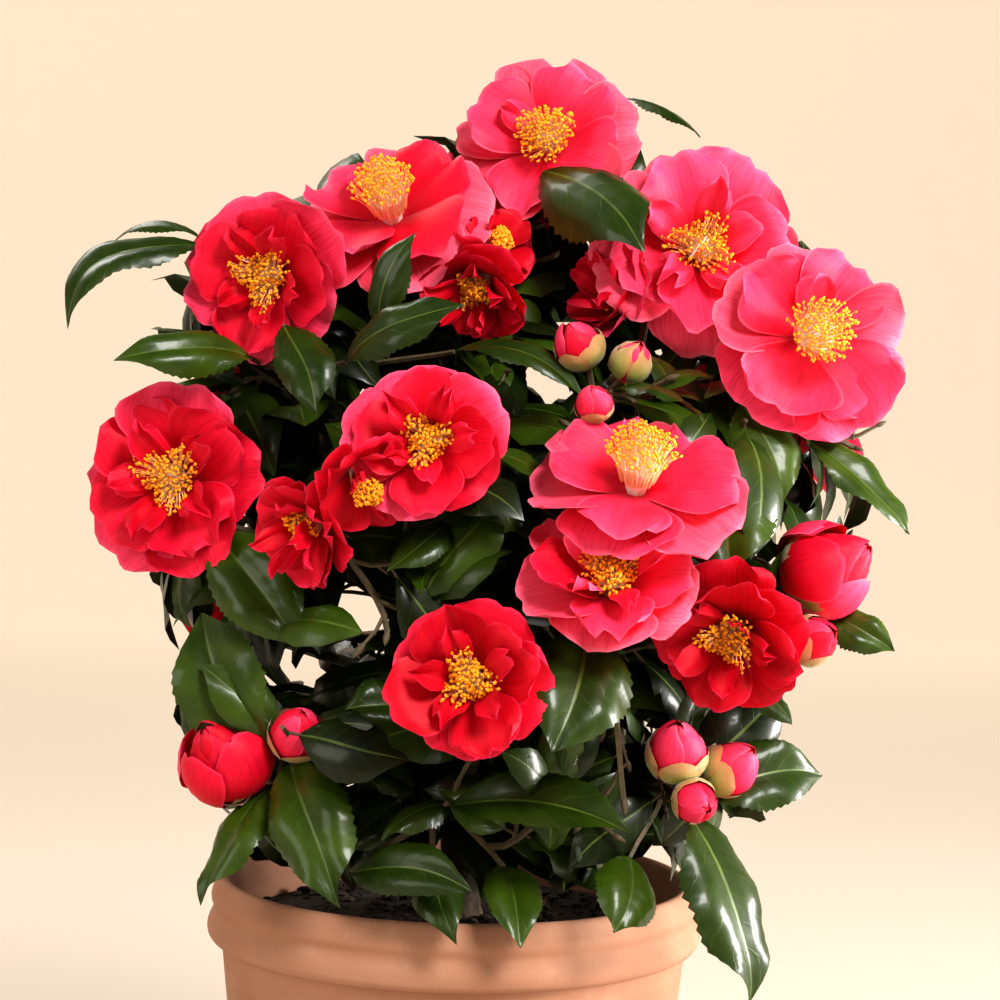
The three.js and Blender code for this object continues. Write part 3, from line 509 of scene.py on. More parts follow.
def growBlossom(mass, row):
    place, facing, width, openness, tone, habit, turn = row
    at, way = vec(place), unit(vec(facing))
    depth = headForm["depth"] * width + headForm["shutDepth"] * (1 - openness)
    path = growTo(mass, at + way * (headForm["cup"] - depth), way, twig["tipRadius"])
    for _ in range(headForm["draws"]):
        mass["vary"]()
    addHead(mass, "blossom", path, at=at, way=way, width=width, open=openness, tone=tone, habit=habit,
            turn=turn, depth=depth)


def growBud(mass, row):
    place, facing, width, openness, sheath = row
    at, way = vec(place), unit(vec(facing))
    path = growTo(mass, at - way * width * headForm["budFoot"], way, twig["tipRadius"])
    mass["vary"]()
    addHead(mass, "bud", path, at=at, way=way, width=width, open=openness, sheath=sheath, tone=crimson,
            depth=width * headForm["budDepth"])


def growMarkedLeaf(mass, row):
    start, end, width = vec(row[0]), vec(row[1]), row[2]
    up = unit(vec(row[3])) if len(row) > 3 else bladeUp(end)
    sway = row[4] if len(row) > 4 else 0
    along = unit(end - start)
    top = unit(up - along * np.dot(up, along))
    stalkWay = unit(along + top * math.pi * leaf["arch"])
    growTo(mass, start, stalkWay, twig["petioleRadius"], twig["stalkStraightness"], stalkCost)
    mass["blades"].append({"from": start, "to": end, "width": width, "up": up, "sway": sway, "fine": True})
    bladePlaces.extend(bladeMarks(start, end))


def growShoot(mass, number):
    outward = unit(mass["hub"] - vec(crown["heart"]))
    across = unit(np.cross(vec((0, 0, 1)), outward))
    tilt = twig["shootSpread"] * math.sqrt((number + 0.5) / mass["shoots"])
    tilt += twig["shootTilt"] * (mass["vary"]() - 0.5)
    way = turned(turned(outward, across, tilt), outward, leaf["turn"] * number)
    end = mass["hub"] + way * between(twig["shootReach"], mass["vary"]())
    crowded = nearest(end, otherPlaces(mass)) < twig["shootDistance"]
    if insideCrown(end) and not inOpening(end) and not crowded and not hidesHead([end]):
        path = growTo(mass, end, way, twig["tipRadius"])
        mass["leafy"].append((path, leaf["shootFirst"]))
        mass["shootTips"].append((end, way))
        mass["shootPaths"].append(path)


def otherPlaces(mass):
    return np.array([mark[0] for other in masses if other is not mass for mark in other["marks"]])


# Leaves stand round a twig in a spiral, a golden angle apart, and lean out and down
def growLeaves(mass, path, first, vary, form, hides):
    length = lengthOf(path)
    count = min(max(int((length - first) // form["spacing"]) + 1, 2), form["most"])
    turn = 2 * math.pi * vary()
    others = otherPlaces(mass)
    own = np.array([mark[0] for mark in mass["marks"]])
    for k in range(count):
        turn += leaf["turn"] + leaf["turnSpread"] * (vary() - 0.5)
        bladeLength = between(form["lengths"], vary())
        width = bladeLength * between(leaf["slimness"], vary())
        droop = between(leaf["droop"], vary())
        lean = between(leaf["lean"], vary())
        share = 1 - (first + k * form["spacing"]) / length
        if share < leaf["rootless"]:
            continue
        foot = pointAt(path, share)
        axis = wayAt(path, share)
        for trial in range(leaf["tries"]):
            way = leafWay(axis, turn + trial * leaf["tryTurn"], lean, droop)
            tip = foot + way * bladeLength
            marks = bladeMarks(foot, tip)
            placesNow = np.array(bladePlaces)
            astray = any(
                not insideCrown(mark) or inOpening(mark) or nearest(mark, placesNow) < form["distance"]
                or nearest(mark, own) > nearest(mark, others) + leaf["spaceAllowance"] for mark in marks)
            if not astray and not hides(foot, tip, width):
                mass["blades"].append({"from": foot, "to": tip, "width": width, "up": bladeUp(tip),
                                       "fine": False})
                bladePlaces.extend(marks)
                break


# A shoot that bears no leaf and stands before a blossom is left off again
def dropBareShoots(mass, leafed):
    bare = [path for path in mass["shootPaths"]
            if veils([pointAt(path, 1)]) and not any(path is other for other in leafed)]
    mass["twigs"] = [row for row in mass["twigs"] if not any(row[0] is path for path in bare)]
    mass["leafy"] = [row for row in mass["leafy"] if not any(row[0] is path for path in bare)]


def hidesFromFront(foot, tip, _):
    marks = bladeMarks(foot, tip)
    return hidesHead(marks) or veils(marks)


# A finer twig's leaf also keeps out of the petals, off the photo's leaves and above the soil
def touchesBloom(foot, tip, width):
    side = unit(np.cross(bladeUp(tip), tip - foot)) * width * spurLeaf["side"]
    middle = foot + (tip - foot) * 0.5
    low = min(foot[2], tip[2]) < spurLeaf["lowest"]
    marks = [*bladeMarks(foot, tip), middle + side, middle - side]
    return low or inBloom(marks, spurLeaf["bloomMargin"]) or veils(marks) or coversLeaf(marks)


def growSpurs(mass, path, first, vary):
    length = lengthOf(path)
    others = otherPlaces(mass)
    count = int((length - first) // spur["spacing"])
    turn = 2 * math.pi * vary()
    for k in range(count):
        turn += leaf["turn"] + spur["turnSpread"] * (vary() - 0.5)
        share = 1 - (first + spur["first"] + k * spur["spacing"]) / length
        reach = between(spur["lengths"], vary())
        lean = between(spur["lean"], vary())
        if share < spur["rootless"]:
            continue
        foot = pointAt(path, share)
        axis = wayAt(path, share)
        way = leafWay(axis, turn, lean, spur["droop"])
        end = foot + way * reach
        own = np.array([mark[0] for mark in mass["marks"]])
        tooNear = nearest(end, others) < spur["distance"] or nearest(end, own) < spur["distance"]
        if tooNear or not insideCrown(end) or inOpening(end, spur["openingMargin"]):
            continue
        if inBloom([end], spur["bloomMargin"]) or veils([end]):
            continue
        branch = twigCourse(foot - axis, axis, end, way)
        leaves, marks = len(mass["blades"]), len(mass["marks"])
        growTwig(mass, branch, spur["radius"], spur["tipRadius"])
        growLeaves(mass, branch, spurLeaf["first"], vary, spurLeaf, touchesBloom)
        if len(mass["blades"]) > leaves:
            mass["shootTips"].append((end, way))
        else:  # a finer twig without a leaf is left off again
            mass["twigs"].pop()
            del mass["marks"][marks:]


limbs = {"trunk": course([trunk["foot"], trunk["lean"], trunk["tip"]])}
for boughName, parentName, along, tip in boughRows:
    start = pointAt(limbs[parentName], along)
    span = vec(tip) - start
    bend = start + span * vec((bough["spread"], bough["spread"], bough["rise"]))
    limbs[boughName] = course([start, bend, tip])

bladePlaces = []
masses = []
for index, row in enumerate(massRows):
    mass = {"blossoms": [], "buds": [], "leaves": [], **row}
    boughName = mass.setdefault("bough", mass["name"].replace("foliage", "bough"))
    way = wayAt(limbs[boughName], 1)
    start = pointAt(limbs[boughName], 1) + way * twig["gap"]
    mass.update(twigs=[], marks=[], leafy=[], heads=[], blades=[], shootTips=[], shootPaths=[])
    mass["vary"] = seededStream(twig["seed"] + twig["seedStep"] * index)
    mass["hub"] = start + way * twig["stemLength"]
    mass["marks"].append((start + way * twig["stemLength"] * 0.5, way))
    growTwig(mass, course([start, mass["hub"]]), twig["stemRadius"], twig["radius"])
    masses.append(mass)
for mass in masses:
    for row in mass["blossoms"]:
        growBlossom(mass, row)
    for row in mass["buds"]:
        growBud(mass, row)

heads = [head for mass in masses for head in mass["heads"]]
headPlaces = np.array([head["at"] for head in heads])
headWays = np.array([head["way"] for head in heads])
headRadii = np.array([head["radius"] for head in heads])
headShut = np.array([head["kind"] == "bud" for head in heads])
headsSeen = np.array([seenAt(place) for place in headPlaces])
headsFacing = (headWays[:, 1] < clearance["facing"]) & (headPlaces[:, 1] < clearance["forward"])
for mass in masses:
    for row in mass["leaves"]:
        growMarkedLeaf(mass, row)
knownLeaves = []
for blade in [blade for mass in masses for blade in mass["blades"]]:
    for share, half in leaf["spots"]:
        spot = between((blade["from"], blade["to"]), share)
        knownLeaves.append((*seenAt(spot), spot[1], blade["width"] * half))
for mass in masses:
    for number in range(mass["shoots"]):
        growShoot(mass, number)
for mass in masses:
    leafed = []
    for path, first in mass["leafy"]:
        before = len(mass["blades"])
        growLeaves(mass, path, first, mass["vary"], leaf, hidesFromFront)
        if len(mass["blades"]) > before:
            leafed.append(path)
    dropBareShoots(mass, leafed)


def countOf(kind):
    return sum(len(mass[kind]) for mass in masses)


coarse = countOf("blades")
for index, mass in enumerate(masses):
    vary = seededStream(spur["seed"] + index)
    for path, first in [*mass["leafy"], (limbs[mass["bough"]], 0)]:
        growSpurs(mass, path, first, vary)
print("grown:", coarse, "leaves by the source's rule,", countOf("blades"), "in all,", countOf("twigs"),
      "twigs and", len(heads), "blossoms and buds")


# Node helpers

def plug(tree, socket, value):
    if isinstance(value, bpy.types.NodeSocket):
        tree.links.new(value, socket)
    else:
        socket.default_value = (*value, 1) if socket.type == "RGBA" else value


def addNode(tree, kind, props=None, sockets=None):
    made = tree.nodes.new(kind)
    for key, value in (props or {}).items():
        setattr(made, key, value)
    for key, value in (sockets or {}).items():
        plug(tree, made.inputs[key], value)
    return made


def noiseOf(tree, place, scale, detail=3, roughness=0.5):
    return addNode(tree, "ShaderNodeTexNoise", None,
                   {"Vector": place, "Scale": scale, "Detail": detail, "Roughness": roughness}).outputs["Fac"]


def rampOf(tree, value, stops):
    made = addNode(tree, "ShaderNodeValToRGB", None, {"Fac": value})
    ramp = made.color_ramp
    while len(ramp.elements) < len(stops):
        ramp.elements.new(0.5)
    for element, (place, color) in zip(ramp.elements, stops):
        element.position = place
        element.color = (*color, 1) if isinstance(color, tuple) else (color, color, color, 1)
    return made.outputs["Color"]


def mixOf(tree, share, a, b):
    return addNode(tree, "ShaderNodeMix", {"data_type": "RGBA"}, {0: share, 6: a, 7: b}).outputs[2]


def mathOf(tree, operation, *values):
    return addNode(tree, "ShaderNodeMath", {"operation": operation}, dict(enumerate(values))).outputs[0]


def awayFromHalf(tree, value):
    return mathOf(tree, "ABSOLUTE", mathOf(tree, "SUBTRACT", value, 0.5))


def newMaterial(name, **settings):
    material = bpy.data.materials.new(name)
    material.use_nodes = True
    tree = material.node_tree
    for key, value in settings.items():
        plug(tree, tree.nodes["Principled BSDF"].inputs[key.replace("_", " ")], value)
    return material, tree


# Gives a material its colour and its relief
def dressed(material, color, relief, distance, strength=1):
    tree = material.node_tree
    shader = tree.nodes["Principled BSDF"]
    bump = addNode(tree, "ShaderNodeBump", None,
                   {"Height": relief, "Distance": distance, "Strength": strength})
    tree.links.new(color, shader.inputs["Base Color"])
    tree.links.new(bump.outputs["Normal"], shader.inputs["Normal"])
    return material


def bladePlace(tree):
    made = addNode(tree, "ShaderNodeUVMap", {"uv_map": "blade"})
    split = addNode(tree, "ShaderNodeSeparateXYZ", None, {0: made.outputs["UV"]})
    return made.outputs["UV"], split.outputs["X"], split.outputs["Y"]


def tintOf(tree):
    return addNode(tree, "ShaderNodeAttribute", {"attribute_name": "tint"}).outputs["Fac"]


def objectPlace(tree):
    return tree.nodes.new("ShaderNodeTexCoord").outputs["Object"]


# Materials

# Petals: darker towards the throat as painted shade, paler at the rim and thin edge as painted highlight,
# with faint veins that fan out
def petalMaterial(name, shadedThroat, body, rim, pale):
    material, tree = newMaterial(
        name, Roughness=0.5, Specular_IOR_Level=0.16, Subsurface_Weight=0.08, Subsurface_Scale=0.003,
        Subsurface_Radius=(1.0, 0.08, 0.10), Sheen_Weight=0.06, Sheen_Roughness=0.35,
        Sheen_Tint=(1, 0.3, 0.5))
    _, across, along = bladePlace(tree)
    spread = mathOf(tree, "SUBTRACT", across, 0.5)
    fan = addNode(tree, "ShaderNodeCombineXYZ", None, {
        "X": mathOf(tree, "MULTIPLY", spread, 60), "Y": mathOf(tree, "MULTIPLY", along, 2.6),
        "Z": mathOf(tree, "MULTIPLY", tintOf(tree), 30)})
    veins = noiseOf(tree, fan.outputs[0], 1.0, 3, 0.55)
    cloud = noiseOf(tree, objectPlace(tree), 45, 2)
    # Painted shade darkens the red low in the petal towards the throat, and painted highlight turns the outer
    # half paler pink towards the rim
    shade = rampOf(tree, along, [(0.0, shadedThroat), (0.4, body), (1.0, rim)])
    mottled = mixOf(tree, rampOf(tree, cloud, [(0.35, 0.0), (0.7, 0.5)]), shade, rim)
    veined = mixOf(tree, rampOf(tree, veins, [(0.46, 0.0), (0.64, 0.34)]), mottled, shadedThroat)
    # The thin pale edge along the petal's sides and tip is a painted highlight on the margin
    aside = mathOf(tree, "MULTIPLY", mathOf(tree, "ABSOLUTE", spread), 2)
    edge = rampOf(tree, mathOf(tree, "MAXIMUM", aside, along), [(0.93, 0.0), (0.99, 0.45)])
    return dressed(material, mixOf(tree, edge, veined, pale), veins, 0.0004, 0.4)


# Leaves: three greens, glossy above and dull below, with a pale midrib of its own
def leafMaterial(name, body, light):
    material, tree = newMaterial(name, Roughness=0.40, Coat_Weight=0.24, Coat_Roughness=0.15,
                                 Specular_IOR_Level=0.24)
    _, across, along = bladePlace(tree)
    wander = mathOf(tree, "MULTIPLY", noiseOf(tree, objectPlace(tree), 90, 2), 0.10)
    inwards = mathOf(tree, "MULTIPLY", awayFromHalf(tree, across), 0.5)
    slant = mathOf(tree, "SUBTRACT", mathOf(tree, "ADD", along, wander), inwards)
    comb = mathOf(tree, "FRACT", mathOf(tree, "MULTIPLY", slant, 7))
    line = rampOf(tree, awayFromHalf(tree, comb), [(0.0, 1.0), (0.06, 0.0)])
    patch = noiseOf(tree, objectPlace(tree), 48, 3)
    color = mixOf(tree, rampOf(tree, patch, [(0.35, 0.0), (0.7, 0.8)]), body, light)
    lined = mixOf(tree, mathOf(tree, "MULTIPLY", line, 0.14), color, (0.10, 0.14, 0.02))
    fine = mathOf(tree, "MULTIPLY", noiseOf(tree, objectPlace(tree), 380, 2), 0.3)
    relief = mathOf(tree, "ADD", mathOf(tree, "MULTIPLY", line, -0.25), fine)
    return dressed(material, lined, relief, 0.0005, 0.4)


# Two shades in clouds, for the plain finishes
def plainVaried(name, dark, light, scale, roughness, bump):
    material, tree = newMaterial(name, Roughness=roughness)
    cloud = noiseOf(tree, objectPlace(tree), scale, 5, 0.6)
    color = mixOf(tree, rampOf(tree, cloud, [(0.3, 0.0), (0.7, 1.0)]), dark, light)
    return dressed(material, color, cloud, bump)


def scaleMaterial():
    material, tree = newMaterial("budScale", Roughness=0.5, Sheen_Weight=0.3)
    _, across, along = bladePlace(tree)
    body = rampOf(tree, along, [(0.0, (0.10, 0.16, 0.012)), (0.5, (0.27, 0.27, 0.045)),
                                (1.0, (0.56, 0.24, 0.11))])
    edge = rampOf(tree, awayFromHalf(tree, across), [(0.36, 0.0), (0.5, 0.6)])
    rimmed = mixOf(tree, edge, body, (0.40, 0.10, 0.05))
    return dressed(material, rimmed, noiseOf(tree, objectPlace(tree), 500, 3), 0.0003)


# Terracotta: cloudy, with lines from the wheel, a pale bloom and dark specks
def terracottaMaterial():
    material, tree = newMaterial("terracotta", Roughness=0.82)
    place = objectPlace(tree)
    cloud = rampOf(tree, noiseOf(tree, place, 9, 5, 0.6), [(0.32, 0.0), (0.68, 1.0)])
    bands = addNode(tree, "ShaderNodeMapping", None, {"Vector": place, "Scale": (3, 3, 130)})
    lines = noiseOf(tree, bands.outputs[0], 1.0, 3, 0.5)
    bloom = rampOf(tree, noiseOf(tree, place, 26, 6, 0.7), [(0.56, 0.0), (0.78, 0.4)])
    speck = rampOf(tree, noiseOf(tree, place, 700, 2), [(0.66, 0.0), (0.74, 0.35)])
    body = mixOf(tree, cloud, (0.34, 0.150, 0.083), (0.45, 0.230, 0.145))
    bloomed = mixOf(tree, bloom, body, (0.60, 0.39, 0.28))
    lined = mixOf(tree, rampOf(tree, lines, [(0.4, 0.0), (0.7, 0.3)]), bloomed, (0.29, 0.115, 0.058))
    specked = mixOf(tree, speck, lined, (0.3, 0.13, 0.08))
    grain = mathOf(tree, "MULTIPLY", noiseOf(tree, place, 900, 3, 0.6), 0.4)
    return dressed(material, specked, mathOf(tree, "ADD", grain, lines), 0.0006, 0.7)


def soilMaterial():
    material, tree = newMaterial("soil", Roughness=0.95)
    place = objectPlace(tree)
    color = rampOf(tree, noiseOf(tree, place, 240, 5, 0.7),
                   [(0.3, (0.006, 0.004, 0.003)), (0.55, (0.022, 0.014, 0.009)),
                    (0.75, (0.06, 0.038, 0.024))])
    return dressed(material, color, noiseOf(tree, place, 500, 4), 0.002)


def crumbMaterial():
    material, tree = newMaterial("barkChips", Roughness=0.9)
    color = rampOf(tree, tintOf(tree), [(0.0, (0.010, 0.006, 0.004)), (0.6, (0.045, 0.027, 0.017)),
                                        (1.0, (0.12, 0.08, 0.05))])
    grain = noiseOf(tree, objectPlace(tree), 600, 4)
    mottled = mixOf(tree, mathOf(tree, "MULTIPLY", grain, 0.5), color, (0.03, 0.02, 0.015))
    return dressed(material, mottled, grain, 0.001)


# Petals: throat, body, rim and thin pale edge, where the dark throat is painted shade and the pale rim and
# edge are painted highlight. Leaves: body and light. The rest: dark, light, scale, roughness and relief.
# The rows run from lit to shaded: the first is painted light, the third painted shade, the last the painted
# shade deep inside a blossom.
petalRows = [
    ("petalRoseLit", (0.60, 0, 0.010), (0.90, 0.022, 0.075), (0.96, 0.12, 0.215), (0.98, 0.25, 0.35)),
    ("petalCrimson", (0.50, 0, 0.006), (0.84, 0.008, 0.045), (0.93, 0.060, 0.16), (0.96, 0.16, 0.28)),
    ("petalDeepShaded", (0.34, 0, 0.003), (0.64, 0.001, 0.016), (0.80, 0.010, 0.05), (0.88, 0.05, 0.13)),
    ("petalHeartShaded", (0.26, 0, 0.002), (0.50, 0, 0.008), (0.68, 0.004, 0.026), (0.80, 0.03, 0.09)),
]
leafRows = [
    ("leafDark", (0.005, 0.011, 0.001), (0.011, 0.021, 0.002)),
    ("leafGreen", (0.012, 0.028, 0.001), (0.026, 0.050, 0.002)),
    ("leafFresh", (0.022, 0.048, 0.002), (0.052, 0.092, 0.004)),
]
finishes = {
    "petals": [petalMaterial(*row) for row in petalRows],
    "leaves": [
        *[leafMaterial(*row) for row in leafRows],
        plainVaried("leafRib", (0.035, 0.065, 0.008), (0.10, 0.15, 0.02), 60, 0.4, 0.0002),
        plainVaried("leafUnder", (0.022, 0.040, 0.006), (0.042, 0.066, 0.011), 120, 0.6, 0.0004),
    ],
    "anther": plainVaried("anther", (0.88, 0.27, 0.002), (1.0, 0.50, 0.012), 700, 0.6, 0.0003),
    "filament": plainVaried("filament", (0.96, 0.56, 0.24), (1.0, 0.80, 0.50), 300, 0.5, 0.0002),
    "tube": plainVaried("filamentTube", (1.0, 0.87, 0.72), (1.0, 0.97, 0.90), 260, 0.5, 0.0003),
    "scale": scaleMaterial(),
    "twig": plainVaried("twigBark", (0.055, 0.05, 0.022), (0.13, 0.085, 0.045), 240, 0.7, 0.0006),
    "bark": plainVaried("bark", (0.045, 0.030, 0.020), (0.17, 0.125, 0.085), 150, 0.9, 0.002),
    "terracotta": terracottaMaterial(),
    "soil": soilMaterial(),
    "crumb": crumbMaterial(),
}
print("materials made")


# Patterns: one model of each thing that repeats

def deselectAll():
    bpy.ops.object.select_all(action="DESELECT")


def onlySelect(piece):
    deselectAll()
    piece.select_set(True)
    bpy.context.view_layer.objects.active = piece


# A finished model's corners, faces, blade places and finishes, taken from its object
def patternOf(model):
    mesh = model.data
    corners = np.zeros(len(mesh.vertices) * 3)
    mesh.vertices.foreach_get("co", corners)
    loops = np.zeros(len(mesh.loops), int)
    mesh.loops.foreach_get("vertex_index", loops)
    sizes = np.zeros(len(mesh.polygons), int)
    mesh.polygons.foreach_get("loop_total", sizes)
    finish = np.zeros(len(mesh.polygons), int)
    mesh.polygons.foreach_get("material_index", finish)
    places = np.zeros((len(loops), 2))
    if mesh.uv_layers:
        flat = np.zeros(len(loops) * 2)
        mesh.uv_layers[0].data.foreach_get("uv", flat)
        places = flat.reshape(-1, 2)
    across = np.zeros(len(mesh.vertices))
    across[loops] = places[:, 0] * 2 - 1
    bpy.data.objects.remove(model)
    return {"corners": corners.reshape(-1, 3), "loops": loops, "sizes": sizes, "finish": finish,
            "places": places, "across": across}


# A thin blade of unit length along Y: a grid given an outline, with its underside joined at the rim.
# Its faces are marked 0 above, 1 below and 2 on the midrib.
def bladePattern(columns, rows, outline, shape=None, rib=0):
    deselectAll()
    bpy.ops.mesh.primitive_grid_add(x_subdivisions=len(columns) - 1, y_subdivisions=rows, size=2)
    blank = bpy.context.object
    bpy.ops.object.mode_set(mode="EDIT")
    bpy.ops.mesh.select_all(action="SELECT")
    bpy.ops.mesh.duplicate()
    bpy.ops.mesh.flip_normals()
    bpy.ops.transform.translate(value=(0, 0, -1))
    bpy.ops.object.mode_set(mode="OBJECT")
    even = np.linspace(-1, 1, len(columns))
    places, halves = outline
    for face in blank.data.polygons:
        above = face.normal.z > 0
        onRib = rib > 0 and abs(face.center.x) < 0.001
        face.material_index = (2 if onRib else 0) if above else 1
    for spot in blank.data.uv_layers[0].data:
        spot.uv[0] = (float(np.interp(spot.uv[0] * 2 - 1, even, columns)) + 1) / 2
    for corner in blank.data.vertices:
        u, v, w = float(np.interp(corner.co.x, even, columns)), (corner.co.y + 1) / 2, corner.co.z
        rim = abs(u) > 0.999 or v < 0.001 or v > 0.999
        half = float(np.interp(v, places, halves))
        across = u * half
        if 0 < abs(u) <= rib:
            across = math.copysign(min(half * 0.5, rib * (0.55 - 0.4 * v)), u)
        corner.co = (across, v, 0 if rim else (1 if w > -0.5 else -1))
        if shape:
            shape(corner, u, v)
    bpy.ops.object.mode_set(mode="EDIT")
    bpy.ops.mesh.select_all(action="SELECT")
    bpy.ops.mesh.remove_doubles(threshold=0.0002)
    bpy.ops.object.mode_set(mode="OBJECT")
    return patternOf(blank)


leafOutline = ((0, 0.06, 0.16, 0.28, 0.42, 0.56, 0.70, 0.82, 0.91, 0.96, 1),
               (0.02, 0.13, 0.30, 0.43, 0.5, 0.485, 0.41, 0.28, 0.13, 0.06, 0))
petalOutline = ((0, 0.12, 0.26, 0.42, 0.58, 0.72, 0.84, 0.93, 1),
                (0.11, 0.18, 0.29, 0.41, 0.48, 0.5, 0.48, 0.43, 0.37))
crestOutline = ((0, 0.2, 0.5, 0.8, 1), (0.12, 0.2, 0.38, 0.46, 0.34))
scaleOutline = ((0, 0.2, 0.5, 0.8, 1), (0.3, 0.44, 0.5, 0.4, 0.14))
teeth = 34


# Fine teeth along the margin
def toothed(corner, u, v):
    if abs(u) > 0.999 and 0.08 < v < 0.97 and round(v * teeth) % 2:
        corner.co.x *= 0.94
        corner.co.y += 0.008


# A rounded, notched tip
def notched(corner, u, v):
    corner.co.y -= 0.17 * abs(u) ** 2.6 * v ** 3 + 0.05 * math.exp(-(u / 0.2) ** 2) * v ** 7


def rounded(corner, u, v):
    corner.co.y -= 0.12 * abs(u) ** 2 * v ** 3


def solidPattern(sides, heights, radii):
    deselectAll()
    bpy.ops.mesh.primitive_cylinder_add(vertices=sides, radius=1, depth=1, location=(0, 0, 0.5),
                                        end_fill_type="NGON")
    model = bpy.context.object
    bpy.ops.object.transform_apply(location=True, rotation=True, scale=True)
    bpy.ops.object.mode_set(mode="EDIT")
    for height in heights[1:-1]:
        bpy.ops.mesh.select_all(action="SELECT")
        bpy.ops.mesh.bisect(plane_co=(0, 0, height), plane_no=(0, 0, 1))
    bpy.ops.object.mode_set(mode="OBJECT")
    for corner in model.data.vertices:
        radius = float(np.interp(corner.co.z, heights, radii))
        corner.co.x *= radius
        corner.co.y *= radius
    return patternOf(model)


def antherPattern():
    deselectAll()
    bpy.ops.mesh.primitive_ico_sphere_add(subdivisions=1, radius=1)
    return patternOf(bpy.context.object)


patterns = {
    "leaf": bladePattern((-1, -0.5, -0.05, 0.05, 0.5, 1), 7, leafOutline, None, 0.05),
    "fineLeaf": bladePattern((-1, -0.74, -0.48, -0.24, -0.04, 0.04, 0.24, 0.48, 0.74, 1), teeth, leafOutline,
                             toothed, 0.04),
    "petal": bladePattern(np.linspace(-1, 1, 9), 9, petalOutline, notched),
    "crest": bladePattern(np.linspace(-1, 1, 7), 6, crestOutline, rounded),
    "scale": bladePattern(np.linspace(-1, 1, 5), 5, scaleOutline, rounded),
    "filament": solidPattern(3, (0, 0.35, 0.7, 1), (1, 1, 0.85, 0.7)),
    "tube": solidPattern(14, (0, 0.3, 0.6, 1), (1, 1, 1, 1)),
    "bud": solidPattern(6, (0, 0.2, 0.5, 0.8, 1), (0.5, 0.9, 1, 0.6, 0.08)),
    "core": solidPattern(12, (0, 0.12, 0.3, 0.5, 0.7, 0.88, 1), (0.3, 0.7, 0.92, 0.95, 0.78, 0.45, 0.04)),
    "anther": antherPattern(),
}
print("patterns modelled:", ", ".join(patterns))


# Copies of the patterns are gathered in a bag and made into one mesh

def newBag():
    return {"corners": [], "loops": [], "sizes": [], "finish": [], "places": [], "tint": [], "count": 0}


# `finish` is the material of the faces marked 0, 1 and 2
def addCopy(bag, pattern, points, tint, finish=(0, 0, 0)):
    bag["corners"].append(points)
    bag["loops"].append(pattern["loops"] + bag["count"])
    bag["sizes"].append(pattern["sizes"])
    bag["finish"].append(np.array(finish)[pattern["finish"]])
    bag["places"].append(pattern["places"])
    bag["tint"].append(np.full(len(points), tint))
    bag["count"] += len(points)


# Edges that bend by more degrees than these are kept sharp
sharpBends = {"blades": 62, "stamens": 40, "limbs": 50, "pot": 38, "soil": 60, "chips": 20}


# One finish all over a selected piece
def coat(piece, material, angle):
    piece.data.materials.clear()
    piece.data.materials.append(material)
    bpy.ops.object.shade_smooth_by_angle(angle=math.radians(angle))


def finishPiece(piece, nodes):
    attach(piece, "root")
    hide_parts(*nodes)


def makePiece(name, bag, materials, nodes, angle=sharpBends["blades"]):
    mesh = bpy.data.meshes.new(name)
    corners = np.concatenate(bag["corners"]) * mm
    loops = np.concatenate(bag["loops"])
    sizes = np.concatenate(bag["sizes"])
    mesh.vertices.add(len(corners))
    mesh.vertices.foreach_set("co", corners.ravel())
    mesh.loops.add(len(loops))
    mesh.loops.foreach_set("vertex_index", loops)
    mesh.polygons.add(len(sizes))
    mesh.polygons.foreach_set("loop_start", np.concatenate([[0], np.cumsum(sizes)[:-1]]))
    mesh.polygons.foreach_set("loop_total", sizes)
    mesh.polygons.foreach_set("material_index", np.concatenate(bag["finish"]))
    mesh.uv_layers.new(name="blade").data.foreach_set("uv", np.concatenate(bag["places"]).ravel())
    mesh.attributes.new("tint", "FLOAT", "POINT").data.foreach_set("value", np.concatenate(bag["tint"]))
    mesh.update(calc_edges=True)
    mesh.validate()
    for material in materials:
        mesh.materials.append(material)
    piece = bpy.data.objects.new(name, mesh)
    bpy.context.scene.collection.objects.link(piece)
    onlySelect(piece)
    bpy.ops.object.shade_smooth_by_angle(angle=math.radians(angle))
    finishPiece(piece, nodes)
    print(name, "has", sum(sizes - 2), "triangles")


# A frame that turns +Z to a direction
def basisOf(way, turn=0):
    side = turned(beside(way), way, turn)
    return np.array([side, np.cross(way, side), way])


# Leaves

leafForm = {
    "arch": (0.06, 0.15), "fold": (0.10, 0.30), "recurve": (0.15, 0.48), "wave": (0.02, 0.065),
    "waves": (1.5, 3.0), "twist": 0.6, "sway": 0.06, "tipDrop": 0.24, "quilt": 0.009, "pads": 8,
}


